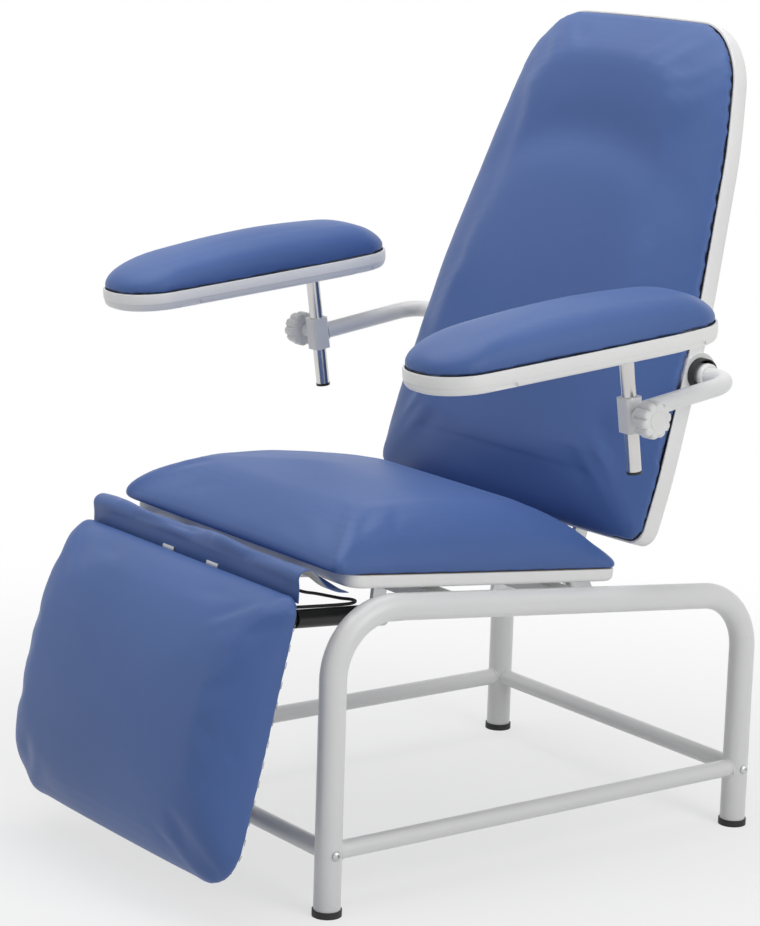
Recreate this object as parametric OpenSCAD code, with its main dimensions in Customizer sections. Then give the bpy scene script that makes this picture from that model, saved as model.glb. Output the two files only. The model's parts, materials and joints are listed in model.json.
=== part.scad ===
// Reclining phlebotomy chair: bent tube base, seat, coupled backrest and leg rest, two arm rests.
// Millimetres. The chair stands on Z = 0, its front is -Y and the sitter's left is +X.

/* [Base frame] */
// Outer diameter of the leg and top tubes
leg_d = 40; // [34:1:48]
// Wall of the leg and top tubes
leg_wall = 2; // [1.5:0.5:3]
// Distance between the left and right leg centres
base_w = 602; // [560:2:660]
// Distance between the front and rear leg centres
base_len = 788; // [760:2:820]
// Height of the top tube's centre line at the front legs
front_h = 455; // [430:5:480]
// Slope of the top tube, down to the rear, in degrees
seat_slope = 5.73; // [3:0.01:7]
// Centre line radius of the bends
bend_r = 95; // [80:5:110]
// Outer diameter of the low rails
rail_d = 27; // [22:1:32]
// Wall of the low rails
rail_wall = 1.5; // [1:0.5:2.5]
// Height of the low rails' centre lines
rail_h = 95; // [70:5:140]
// Diameter of the foot caps
foot_d = 44; // [42:1:52]
// Height of the foot caps below the tube
foot_h = 10; // [6:1:16]
// Thread diameter of the frame screws
screw_d = 8; // [6:1:10]

/* [Seat] */
// Width of the seat cushion
seat_w = 604; // [570:2:620]
// Length of the seat cushion
seat_len = 544; // [520:2:560]
// Distance from mid legs to the rear end of the seat cushion, along the seat
seat_rear = 144; // [130:1:150]
// Thickness of the seat cushion at its crown
seat_t = 95; // [70:1:104]
// Height of the white seat tray
tray_h = 20; // [16:1:24]
// Wall of the white trays and shells
shell_wall = 3; // [2:0.5:4]
// Thickness of the plywood boards
board_t = 12; // [9:1:15]

/* [Backrest] */
// Lean of the backrest from upright, in degrees
back_lean = 17.9; // [12:0.1:22]
// Drop of the backrest hinge below the top tube's centre line at the front legs
back_hinge_drop = 13; // [9:1:17]
// Distance of the backrest hinge behind mid legs
back_hinge_y = 164; // [162:1:172]
// Length of the backrest cushion
back_len = 814; // [760:2:880]
// Largest width of the backrest
back_w = 672; // [620:2:680]
// Thickness of the backrest cushion at its middle
back_t = 54; // [44:1:66]
// Depth of the white backrest shell at its edge
back_shell_t = 26; // [24:1:34]
// Travel of the backrest, in degrees
recline = 60; // [30:5:60]

/* [Leg rest] */
// Lean of the leg rest from upright, in degrees
leg_lean = 14.1; // [10:0.1:18]
// Rise of the leg rest hinge above the top tube's centre line at the front legs
leg_hinge_up = 21; // [17:1:25]
// Distance of the leg rest hinge ahead of mid legs
leg_hinge_y = 419; // [415:1:430]
// Length of the leg pad
leg_pad_len = 442; // [420:1:480]
// Width of the leg pad
leg_pad_w = 602; // [560:2:620]
// Thickness of the leg pad at its crown
leg_pad_t = 91; // [60:1:98]

/* [Arms] */
// Distance of the arm posts from the sides of the backrest
post_out = 61; // [58:1:76]
// Diameter of the chrome posts
post_d = 22; // [18:1:26]
// Length of the chrome posts
post_len = 188; // [176:1:200]
// Diameter of the arm tubes
arm_d = 27; // [24:1:30]
// Wall of the arm tubes
arm_wall = 2; // [1.5:0.5:3]
// Distance from the arm pivot to the post
arm_reach = 203.9; // [190:0.1:220]
// Rise of the arm tubes to the rear, in degrees
arm_slope = 8.6; // [4:0.1:10]
// Height of the arm pivots up the backrest, from its hinge
arm_pivot_up = 313.3; // [295:0.1:340]
// Length of an arm pad
arm_pad_len = 524; // [480:2:560]
// Width of an arm pad
arm_pad_w = 152; // [130:2:160]
// Thickness of an arm pad at its crown
arm_pad_t = 62; // [45:1:70]
// Height of the white arm pad shells
arm_shell_h = 29; // [22:1:34]
// Distance from the clamp's middle up to the arm shell
arm_shell_up = 98.6; // [94:0.1:110]
// Diameter of the star knobs
knob_d = 56; // [48:1:60]

/* [Hidden] */
$fn = 48;

// Clearances: welded or seated faces, running fits and the overrun of a cut. The rings that join
// the lengths of a bent tube lie this far inside its wall, and are this long.
seat_gap = 0.2;
run_gap = 0.05;
cut = 1;
weld = 0.2;
weld_len = 2;

// Colours
white_paint = [0.93, 0.93, 0.92];
blue_vinyl = [0.20, 0.31, 0.56];
black = [0.05, 0.05, 0.05];
steel = [0.70, 0.71, 0.72];
chrome = [0.82, 0.82, 0.83];
wood = [0.72, 0.58, 0.40];

// Base frame: the tube's centre line, and the line of its top
half_w = base_w / 2;
half_len = base_len / 2;
leg_r = leg_d / 2;
rear_h = front_h - base_len * tan(seat_slope);
front_turn = 90 + seat_slope;
rear_turn = 90 - seat_slope;
front_cut = bend_r * tan(front_turn / 2);
rear_cut = bend_r * tan(rear_turn / 2);
top_line = front_h - half_len * tan(seat_slope) + leg_r / cos(seat_slope);
foot_plug_h = 26;
rail_r = rail_d / 2;
rail_cope = sqrt(pow(leg_r + seat_gap, 2) - pow(rail_r, 2));
rail_plug_t = 25;
frame_screw_len = 60;
screw_head_d = screw_d * 1.75;
screw_head_h = screw_d * 0.55;

// Seat, in its own frame: Y runs to the rear along the seat, Z is its normal, and zero is the
// top of the frame tube at mid legs
tray_gap = 5;
beam_w = 40;
beam_h = 20;
beam_wall = 2;
beam_top = -5;
beam_front_y = -190;
beam_rear_y = 40;
beam_cope = sqrt(pow(leg_r + seat_gap, 2) - pow(leg_r + beam_top, 2));
seat_rail_w = 36;
seat_rail_x = 148;
seat_rail_wall = 2;
seat_rail_low = beam_top + seat_gap;
seat_rail_t = tray_gap - seat_gap - seat_rail_low;
seat_rail_end = 120;
tray_margin = 6;
tray_front_inset = 34;
tray_round = 6;
board_fit = 1;
seat_round = 110;
seat_edge_share = 0.12;
seat_corners = [20, 22];
cushion_base = tray_gap + tray_h;
seat_front_y = seat_rear - seat_len;
seat_screw_d = 6;
seat_screw_shares = [0.16, 0.5, 0.9];
board_boss_d = 24;
board_bite = 9;

// Hinges, in the seat's frame
function to_seat(y, z) = [
    y * cos(seat_slope) - (z - top_line) * sin(seat_slope),
    y * sin(seat_slope) + (z - top_line) * cos(seat_slope)
];
back_hinge_h = front_h - back_hinge_drop;
leg_hinge_h = front_h + leg_hinge_up;
back_axis = to_seat(back_hinge_y, back_hinge_h);
leg_axis = to_seat(-leg_hinge_y, leg_hinge_h);
hinge_pin_d = 16;
hinge_head_d = 24;
hinge_head_t = 4;
ear_t = 8;
ear_r = 15;
ear_foot = 60;
ear_x = seat_rail_x + seat_rail_w / 2 + ear_t / 2 - seat_rail_wall;
arm_plate_t = 8;
plate_gap = 2;
arm_plate_x = ear_x - ear_t / 2 - plate_gap - arm_plate_t / 2;
leg_shaft_d = 22;
bush_wall = 4;
bush_gap = 5;
bush_d = leg_shaft_d + 2 * run_gap + 2 * bush_wall;
bush_half = seat_rail_x - seat_rail_w / 2 - bush_gap;

// Levers of the two hinges, and the link between them
link_r = 75;
link_x = -100;
link_d = 9;
link_eye_d = 26;
link_eye_t = 10;
link_pin_d = 10;
lever_t = 8;
lever_boss_d = 38;
leg_hub_drop = 10;
lever_angle = recline / 2;
hinge_span = back_hinge_y + leg_hinge_y;
hinge_rise = leg_hinge_h - back_hinge_h;
link_len = norm([hinge_span, hinge_rise]);
link_slope = atan(hinge_rise / hinge_span);
fork_gap = 1;
pin_end = 2;
open_gap = 0.3;
back_tube_d = 30;
back_tube_wall = 3;

// Gas spring under the seat: its line passes below the backrest hinge
gas_x = 130;
gas_slope = 4.05;
gas_drop = 84;
gas_d = 28;
gas_len = 424;
gas_back = 80;
gas_valve_d = 20;
gas_valve_len = 16;
gas_rod_d = 10;
gas_rod_len = 240;
gas_rod_room = 60;
gas_pin_d = 10;
gas_reach = gas_drop * tan(lever_angle);
gas_slot_gap = 2.4;
gas_lever_w = 30;
gas_lever_end = 6;
gas_eye_t = 12;
gas_eye_d = 24;
hanger_t = 8;
hanger_w = 24;
hanger_wall = 5;

// Leg pad, in its own frame: Y runs up the pad, Z points to its front, zero is the hinge
leg_face = 25;
leg_pad_top = -3;
leg_bar_w = 30;
leg_bar_t = 12;
leg_bar_len = 330;
leg_bar_drop = 5;
leg_bar_x = 60;
leg_cross_y = -250;
board_inset = 16;
leg_round = 54;
leg_edge_share = 0.1;
leg_corners = [66, 25];
leg_screw_shares = [0.2, 0.9];
// Thickness of the leg pad, as shares of its crown, from its lower end to its upper end
leg_depth_shares = [
    [0, 0.56], [0.09, 0.64], [0.17, 0.8], [0.28, 0.92], [0.45, 1], [0.57, 1], [0.7, 0.95],
    [0.81, 0.83], [0.91, 0.64], [1, 0.56]
];
// Thickness of the seat cushion, as shares of its crown, from front to rear
seat_depth_shares = [
    [0, 0.62], [0.08, 0.78], [0.19, 0.93], [0.41, 1.02], [0.54, 1], [0.7, 0.95], [0.82, 0.86],
    [0.91, 0.64], [0.95, 0.46], [1, 0.38]
];

// Backrest, in its own frame: Y runs up, Z points to the front, zero is the hinge
back_face = 33.5;
back_bottom = 33.5;
back_round = 115;
back_edge_share = 0.07;
back_corners = [26, 90];
back_shell_inset = 2;
back_floor_z = -18;
back_slope_in = 68;
back_chamfer = 8;
plate_bottom = 10;
plate_start = 45;
plate_step = 11;
plate_depth = 16;
plate_top = 640;
flange_w = 30;
flange_t = 4;
flange_screw_x = 9;
plate_slot = 3;
back_screw_d = 5;
back_screw_shares = [0.14, 0.5, 0.95];
shell_boss_d = 16;
shell_boss_x = 90;
shell_boss_shares = [0.15, 0.7];
// Half-widths of the backrest, as shares of its largest one, up its length
back_width_shares = [
    [0, 1], [0.13, 1], [0.31, 0.966], [0.46, 0.938], [0.61, 0.882],
    [0.76, 0.828], [0.88, 0.752], [0.94, 0.71], [1, 0.69]
];
// Thickness of the backrest cushion, as shares of its middle one, up its length
back_depth_shares = [
    [0, 0.8], [0.1, 0.94], [0.3, 1], [0.5, 0.97], [0.68, 0.88], [0.76, 0.82],
    [0.84, 0.98], [0.92, 1], [1, 0.84]
];
socket_d = 34;
socket_wall = (socket_d - arm_d) / 2 - run_gap;
socket_out = 6;
socket_end_x = back_w / 2 + socket_out;
socket_boss = 2;
recess_r = 32;
recess_rim = 7;
recess_depth = 49;
recess_x = back_w / 2 - recess_depth;
liner_wall = 2;

// Arms, in their own frame: Y runs to the rear along the tube, Z is up the post, zero is the pivot
arm_bend_r = 38;
arm_axis_z = 4.6;
post_x = back_w / 2 + post_out;
arm_inner_x = 200;
clamp_w = 29;
clamp_h = 52;
clamp_round = 6;
knob_t = 28;
knob_out = 34;
knob_hub_d = 22;
knob_lobes = 10;
knob_lobe_depth = 4;
knob_lobe_steps = 12;
knob_stud_d = 10;
post_down = 86;
post_cap_h = 4;
post_cap_d = post_d + 1;
mount_boss_d = 34;
mount_boss_down = 4;
mount_roof = 5;
mount_plate_w = 70;
mount_plate_t = 4;
pad_rise = 3.5;
pad_front = 388;
pad_x_front = 3;
pad_x_rear = 14;
pad_yaw = atan((pad_x_rear - pad_x_front) / arm_pad_len);
arm_round = 37;
arm_edge_share = 0.13;
arm_corners = [68, 54];
arm_draw = 3;
arm_shell_round = 10;
notch_len = 36;
notch_h = 10;
notch_depth = 8;
notch_shares = [0.2, 0.86];
// Half-widths of an arm pad and its thickness, as shares, from its front end to its rear end
arm_width_shares = [[0, 1], [0.5, 1], [0.8, 0.98], [1, 0.82]];
arm_depth_shares = [[0, 0.48], [0.195, 0.84], [0.365, 0.96], [0.55, 1.02], [0.85, 0.94], [1, 0.46]];

// How far the sides of a large pad are drawn in below
pad_draw = 6;

// Apron: its section from the leg pad over the hinge to the seat, in the middle and at its sides,
// as shares of its reach from the leg hinge, with the share of the folds at each point
apron_w = 560;
apron_t = 1.2;
apron_reach = 30;
apron_fold = 4;
apron_side_x = 245;
apron_side_blend = 30;
apron_mid_shares = [
    [-0.72, 0.1, 0], [-0.75, 0.45, 0.3], [-0.7, 0.83, 0.8], [-0.45, 1.02, 1], [-0.12, 1, 1],
    [0.2, 0.86, 0.5], [0.55, 0.6, 0.1], [0.9, 0.38, 0], [1.25, 0.28, 0], [1.55, 0.26, 0]
];
apron_side_shares = [
    [-0.7, -0.4, 0], [-0.74, 0.3, 0.3], [-0.7, 0.83, 0.8], [-0.45, 1.02, 1], [-0.12, 1, 1],
    [0.2, 0.84, 0.5], [0.55, 0.5, 0.1], [0.95, 0.14, 0], [1.5, -0.1, 0], [2.1, -0.2, 0]
];
apron_columns = 30;

// Release of the gas spring: lever on the sitter's right, and the points of its cable's route
release_y = -262;
release_w = 20;
release_len = 38;
release_x = 256;
stop_x = 232;
stop_t = 8;
release_pin_d = 8;
release_lever_t = 6;
release_lever_len = 95;
release_lever_w = 18;
release_knob_d = 24;
cable_d = 5;
cable_sides = 10;
cable_steps = 4;
cable_route = [
    [130, -358, 407.4], [130, -346, 411.4], [130, -330, 410.4], [130, -295, 407.6],
    [130, -262, 405.2], [128, -240, 404], [120, -228, 404], [108, -228, 404], [96, -237, 404],
    [76, -245, 404], [50, -252, 403], [20, -256, 400], [-15, -259, 402], [-55, -261, 412],
    [-95, -260, 421], [-140, -254, 429], [-185, -244, 436], [-231.4, -237, 439.3]
];

// Middle of the chair's length, which stands over the origin
leg_reach_share = 0.633;
leg_pad_reach = leg_hinge_y + (leg_face + leg_pad_t) * cos(leg_lean)
    + leg_reach_share * leg_pad_len * sin(leg_lean);
back_reach = back_hinge_y + (back_bottom + back_len - back_chamfer) * sin(back_lean)
    - (back_face - back_shell_t - back_chamfer) * cos(back_lean);
shift_y = (leg_pad_reach - max(half_len + foot_d / 2, back_reach)) / 2;

function lerp(a, b, s) = a + (b - a) * s;
function clamp01(v) = max(0, min(1, v));
function table(rows, s, i = 0) =
    i >= len(rows) - 2 || s < rows[i + 1][0]
        ? lerp(rows[i][1], rows[i + 1][1], (s - rows[i][0]) / (rows[i + 1][0] - rows[i][0]))
        : table(rows, s, i + 1);
function smooth_table(rows, s, w = 0.04) =
    (table(rows, max(0, s - w)) + 2 * table(rows, s) + table(rows, min(1, s + w))) / 4;
function unit(v) = v / norm(v);

// Widths and crowns of the upholstered parts, all with s from 0 to 1 along the pad
seat_half = function(s) seat_w / 2;
tray_half = function(s) seat_w / 2 - tray_margin;
leg_half = function(s) leg_pad_w / 2;
back_half = function(s) back_w / 2 * smooth_table(back_width_shares, s);
arm_half = function(s) arm_pad_w / 2 * smooth_table(arm_width_shares, s);
seat_crown = function(x, s) seat_t * smooth_table(seat_depth_shares, s);
leg_crown = function(x, s) leg_pad_t * smooth_table(leg_depth_shares, s);
back_crown = function(x, s) back_t * smooth_table(back_depth_shares, s);
arm_crown = function(x, s) arm_pad_t * smooth_table(arm_depth_shares, s);

// Frames of the moving groups
module seat_place() {
    translate([0, shift_y, top_line]) rotate([-seat_slope, 0, 0]) children();
}
module back_axis_place() {
    translate([0, shift_y + back_hinge_y, back_hinge_h]) children();
}
module leg_axis_place() {
    translate([0, shift_y - leg_hinge_y, leg_hinge_h]) children();
}
module back_place() {
    back_axis_place() rotate([90 - back_lean, 0, 0]) children();
}
module leg_place() {
    leg_axis_place() rotate([90 - leg_lean, 0, 0]) children();
}
module gas_place() {
    back_axis_place() rotate([-gas_slope, 0, 0]) translate([gas_x, 0, -gas_drop]) children();
}
module link_place() {
    back_axis_place() rotate([lever_angle, 0, 0]) translate([link_x, 0, -link_r])
        rotate([-lever_angle - link_slope, 0, 0]) children();
}
module arm_place(side) {
    back_place() translate([0, arm_pivot_up, arm_axis_z])
        rotate([back_lean + arm_slope - 90, 0, 0]) scale_side(side) children();
}
module post_place(side) {
    arm_place(side) translate([post_x, -arm_reach, 0]) children();
}
module pad_place(side) {
    post_place(side) rotate([-pad_rise, 0, 0]) translate([pad_x_front, -pad_front, arm_shell_up])
        rotate([0, 0, -pad_yaw]) children();
}
module scale_side(side) {
    if (side > 0) children();
    else mirror([1, 0, 0]) children();
}

// A tube along Z
module tube(d, wall, length) {
    difference() {
        cylinder(d = d, h = length);
        translate([0, 0, -cut]) cylinder(d = d - 2 * wall, h = length + 2 * cut);
    }
}
// A tube and a rod along X, centred
module cross_tube(d, wall, length) {
    translate([-length / 2, 0, 0]) rotate([0, 90, 0]) tube(d, wall, length);
}
module x_rod(d, length) {
    translate([-length / 2, 0, 0]) rotate([0, 90, 0]) cylinder(d = d, h = length);
}
// A bend in the XY plane that starts at +X and turns to the left
module bend(d, wall, radius, angle) {
    rotate_extrude(angle = angle)
        translate([radius, 0]) difference() {
            circle(d = d);
            circle(d = d - 2 * wall);
        }
}
// A flat link that hangs from zero along -Z between two round ends, its thickness along X
module hanging_link(length, d, t, start = 0) {
    translate([-t / 2, -d / 2, -length]) cube([t, d, length - start]);
    translate([0, 0, -length]) x_rod(d, t);
    translate([0, 0, -start]) x_rod(d, t);
}
// A screw along Z whose head lies below zero
module screw(d, length, head_d, head_h) {
    cylinder(d = d, h = length);
    translate([0, 0, -head_h]) difference() {
        cylinder(d1 = head_d * 0.7, d2 = head_d, h = head_h);
        translate([0, 0, -cut]) cylinder(d = d * 0.6, h = head_h * 0.5 + cut, $fn = 6);
    }
}

// A pad's outline, a rectangle with round corners whose radii differ at its two ends: x as a
// share of the half-width, and s. A quarter has points along the side, the corner and the end.
// The sides and ends bow out a little.
bow_share = 0.008;
side_steps = 4;
corner_steps = 4;
end_steps = 3;
around = 4 * (side_steps + corner_steps + 1 + end_steps);
function pad_quarter(rx, rs) = concat(
    [for (k = [0:side_steps - 1]) [1, lerp(0.5, 1 - rs, (k + 0.5) / side_steps)]],
    [for (k = [0:corner_steps])
        let (a = 90 * k / corner_steps)
        [1 - rx * (1 - cos(a)), 1 - rs * (1 - sin(a))]],
    [for (k = [0:end_steps - 1]) [(1 - rx) * (1 - (k + 0.5) / end_steps), 1]]
);
function reversed(list) = [for (i = [len(list) - 1:-1:0]) list[i]];
function bowed(p) = [
    p[0] * (1 - bow_share * pow(2 * p[1] - 1, 2)),
    0.5 + (p[1] - 0.5) * (1 - bow_share * p[0] * p[0])
];
function pad_points(length, width, corners) =
    let (
        low = pad_quarter(corners[0] / width(0), corners[0] / length),
        high = pad_quarter(corners[1] / width(1), corners[1] / length)
    )
    [for (p = concat(
        high,
        [for (p = reversed(high)) [-p[0], p[1]]],
        [for (p = low) [-p[0], 1 - p[1]]],
        [for (p = reversed(low)) [p[0], 1 - p[1]]]
    )) bowed(p)];
function ring_faces(count, around) = [for (k = [0:count - 2], i = [0:around - 1])
    let (j = (i + 1) % around, a = k * around, b = a + around)
    each [[a + i, b + j, a + j], [a + i, b + i, b + j]]];

// An upholstered pad: its sides swell and are drawn in below, its crown rises to the middle
module pad(length, width, crown, round_r, corners, edge_share, draw = pad_draw) {
    rim_steps = 5;
    top_steps = 5;
    rings = concat(
        [[draw, 0, 1], [draw * 0.3, edge_share * 0.5, 1], [0, edge_share, 1]],
        [for (k = [1:rim_steps])
            let (a = 90 * k / rim_steps)
            [round_r * (1 - cos(a)), lerp(edge_share, 0.9, sin(a)), 1]],
        [for (k = [1:top_steps - 1])
            let (q = 1 - k / top_steps)
            [round_r, 0.9 + 0.1 * (1 - q * q), q]]
    );
    points = [for (ring = rings, p = pad_points(length, width, corners))
        let (
            x = p[0] * (width(p[1]) - ring[0]) * ring[2],
            s_in = ring[0] / length,
            s = lerp(0.5, lerp(s_in, 1 - s_in, p[1]), ring[2])
        )
        [x, s * length, ring[1] * crown(x, s)]];
    tip = [0, length / 2, crown(0, 0.5)];
    count = len(rings);
    lid = [for (i = [0:around - 1])
        [(count - 1) * around + i, count * around, (count - 1) * around + (i + 1) % around]];
    polyhedron(
        points = concat(points, [tip]),
        faces = concat([[for (i = [0:around - 1]) i]], ring_faces(count, around), lid),
        convexity = 6
    );
}

// A flat-ended body from rings of inset and height over a pad's outline
module dish(rings, length, width, corners) {
    points = [for (ring = rings, p = pad_points(length, width, corners))
        [p[0] * (width(p[1]) - ring[0]), lerp(ring[0], length - ring[0], p[1]), ring[1]]];
    last = (len(rings) - 1) * around;
    polyhedron(
        points = points,
        faces = concat(
            [[for (i = [0:around - 1]) i]],
            ring_faces(len(rings), around),
            [[for (i = [around - 1:-1:0]) last + i]]
        ),
        convexity = 6
    );
}
module hollow_dish(rings, length, width, corners) {
    difference() {
        dish(rings, length, width, corners);
        dish([for (r = rings) [r[0] + shell_wall, r[1] + shell_wall]], length, width, corners);
    }
}
module pad_board(length, width, inset, thick, corners) {
    dish([[inset, 0], [inset, thick]], length, width, corners);
}

// Base frame
module side_frame(side) {
    color(white_paint) translate([side * half_w, shift_y, 0]) difference() {
        union() {
            translate([0, -half_len, foot_h]) tube(leg_d, leg_wall, front_h - front_cut - foot_h);
            translate([0, half_len, foot_h]) tube(leg_d, leg_wall, rear_h - rear_cut - foot_h);
            translate([0, -half_len + bend_r, front_h - front_cut])
                rotate([90, 0, 90]) mirror([1, 0, 0]) bend(leg_d, leg_wall, bend_r, front_turn);
            translate([0, half_len - bend_r, rear_h - rear_cut])
                rotate([90, 0, 90]) bend(leg_d, leg_wall, bend_r, rear_turn);
            top_tube();
        }
        for (end = [-1, 1])
            translate([0, end * half_len, rail_h]) x_rod(screw_d + 2 * seat_gap, leg_d + 2 * cut);
    }
}
module top_tube() {
    // The straight length between the two bends, along the slope
    start = [-half_len + front_cut * cos(seat_slope), front_h - front_cut * sin(seat_slope)];
    end = [half_len - rear_cut * cos(seat_slope), rear_h + rear_cut * sin(seat_slope)];
    length = norm(end - start);
    translate([0, start[0], start[1]]) rotate([-90 - seat_slope, 0, 0]) {
        tube(leg_d, leg_wall, length);
        for (z = [0, length]) translate([0, 0, z - weld_len / 2])
            tube(leg_d - 2 * weld, leg_wall - 2 * weld, weld_len);
    }
}
side_frame(1);  // side_frame_left
side_frame(-1);  // side_frame_right

module side_rail(side) {
    reach = half_len - rail_cope;
    color(white_paint) translate([side * half_w, shift_y, rail_h]) difference() {
        translate([0, -reach, 0]) rotate([-90, 0, 0]) tube(rail_d, rail_wall, 2 * reach);
        for (end = [-1, 1])
            translate([0, end * half_len, -rail_d])
                cylinder(d = leg_d + 2 * seat_gap, h = 2 * rail_d);
    }
}
side_rail(1);  // side_rail_left
side_rail(-1);  // side_rail_right

module cross_rail(end) {
    reach = half_w - rail_cope;
    color(white_paint) translate([0, shift_y + end * half_len, rail_h]) difference() {
        union() {
            cross_tube(rail_d, rail_wall, 2 * reach);
            for (side = [-1, 1])
                translate([side * (reach - rail_plug_t / 2), 0, 0]) x_rod(rail_d, rail_plug_t);
        }
        for (side = [-1, 1]) {
            translate([side * half_w, 0, -rail_d])
                cylinder(d = leg_d + 2 * seat_gap, h = 2 * rail_d);
            translate([side * (half_w + leg_r), 0, 0])
                x_rod(screw_d + 2 * seat_gap, 2 * (frame_screw_len + cut));
        }
    }
}
cross_rail(-1);  // front_cross_rail
cross_rail(1);  // rear_cross_rail

module foot_caps() {
    color(black) for (x = [-1, 1], y = [-1, 1])
        translate([x * half_w, shift_y + y * half_len, 0]) {
            cylinder(d = foot_d, h = foot_h - seat_gap);
            cylinder(d = leg_d - 2 * leg_wall - 2 * seat_gap, h = foot_h + foot_plug_h);
        }
}
foot_caps();

module frame_screws() {
    color(steel) for (x = [-1, 1], y = [-1, 1])
        translate([x * (half_w + leg_r), shift_y + y * half_len, rail_h]) rotate([0, -x * 90, 0])
            screw(screw_d, frame_screw_len, screw_head_d, screw_head_h);
}
frame_screws();

module seat_beam(at) {
    reach = half_w - beam_cope;
    color(white_paint) seat_place() translate([0, at, beam_top - beam_h / 2]) difference() {
        cube([2 * reach, beam_w, beam_h], center = true);
        cube([2 * (reach + cut), beam_w - 2 * beam_wall, beam_h - 2 * beam_wall], center = true);
        for (side = [-1, 1])
            translate([side * half_w, 0, beam_h / 2 - beam_top - leg_r]) rotate([90, 0, 0])
                cylinder(d = leg_d + 2 * seat_gap, h = 2 * beam_w, center = true);
    }
}
seat_beam(beam_front_y);  // seat_beam_front
seat_beam(beam_rear_y);  // seat_beam_rear

module seat_rail(side) {
    length = seat_rail_end - leg_axis[0];
    inner_w = seat_rail_w - 2 * seat_rail_wall;
    inner_t = seat_rail_t - 2 * seat_rail_wall;
    color(steel) seat_place() scale_side(side) difference() {
        union() {
            translate([seat_rail_x, leg_axis[0] + length / 2, seat_rail_low + seat_rail_t / 2])
                difference() {
                    cube([seat_rail_w, length, seat_rail_t], center = true);
                    cube([inner_w, length + 2 * cut, inner_t], center = true);
                }
            hinge_ear();
        }
        translate([seat_rail_x, leg_axis[0], leg_axis[1]])
            x_rod(leg_shaft_d + 2 * seat_gap, seat_rail_w + 2 * cut);
        translate([ear_x, back_axis[0], back_axis[1]])
            x_rod(hinge_pin_d + 2 * seat_gap, ear_t + 2 * cut);
        seat_screw_places()
            translate([0, 0, -cut]) cylinder(d = seat_screw_d + 2 * seat_gap, h = cushion_base);
    }
}
module hinge_ear() {
    foot_start = seat_rail_end - ear_foot;
    translate([ear_x - ear_t / 2, foot_start, seat_rail_low])
        cube([ear_t, back_axis[0] + ear_r - foot_start, seat_rail_t]);
    translate([ear_x - ear_t / 2, back_axis[0] - ear_r, seat_rail_low])
        cube([ear_t, 2 * ear_r, back_axis[1] - seat_rail_low]);
    translate([ear_x, back_axis[0], back_axis[1]]) x_rod(2 * ear_r, ear_t);
}
module seat_screw_places() {
    for (share = seat_screw_shares)
        translate([seat_rail_x, seat_front_y + share * seat_len, seat_rail_low]) children();
}
seat_rail(1);  // seat_rail_left
seat_rail(-1);  // seat_rail_right

// Seat
tray_len = seat_len - tray_front_inset - tray_margin;
module tray_place() {
    seat_place() translate([0, seat_front_y + tray_front_inset, tray_gap]) children();
}
module seat_tray() {
    color(white_paint) difference() {
        union() {
            tray_place() hollow_dish(
                [[tray_round, 0], [tray_round * 0.3, tray_round * 0.3], [0, tray_round], [0, tray_h]],
                tray_len, tray_half, seat_corners
            );
            seat_place() for (side = [-1, 1]) scale_side(side) seat_screw_places()
                translate([0, 0, tray_gap - seat_rail_low])
                    cylinder(d = board_boss_d, h = tray_h - board_t - 2 * seat_gap);
        }
        seat_place() for (side = [-1, 1]) scale_side(side) seat_screw_places()
            cylinder(d = seat_screw_d + 2 * seat_gap, h = cushion_base);
    }
}
seat_tray();

module seat_board() {
    color(wood) difference() {
        tray_place() translate([0, 0, tray_h - board_t - seat_gap])
            pad_board(tray_len, tray_half, shell_wall + board_fit, board_t, seat_corners);
        seat_place() for (side = [-1, 1]) scale_side(side) seat_screw_places()
            cylinder(d = seat_screw_d + 2 * seat_gap, h = seat_screw_len() + seat_gap);
    }
}
function seat_screw_len() = cushion_base - board_t - seat_gap + board_bite - seat_rail_low;
seat_board();

module seat_cushion() {
    color(blue_vinyl) seat_place() translate([0, seat_front_y, cushion_base])
        pad(seat_len, seat_half, seat_crown, seat_round, seat_corners, seat_edge_share);
}
seat_cushion();

module seat_screws() {
    color(steel) seat_place() for (side = [-1, 1]) scale_side(side) seat_screw_places()
        screw(seat_screw_d, seat_screw_len(), seat_screw_d * 1.75, seat_screw_d * 0.55);
}
seat_screws();

// Hinges
module leg_hinge_shaft() {
    color(steel) leg_axis_place() x_rod(leg_shaft_d, 2 * seat_rail_x + seat_rail_w);
}
leg_hinge_shaft();

module back_hinge_pins() {
    inner = arm_plate_x - arm_plate_t / 2 - pin_end;
    outer = ear_x + ear_t / 2 + seat_gap;
    color(steel) back_axis_place() for (side = [-1, 1]) {
        translate([side * (inner + outer) / 2, 0, 0]) x_rod(hinge_pin_d, outer - inner);
        translate([side * (outer + hinge_head_t / 2), 0, 0]) x_rod(hinge_head_d, hinge_head_t);
    }
}
back_hinge_pins();

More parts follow.
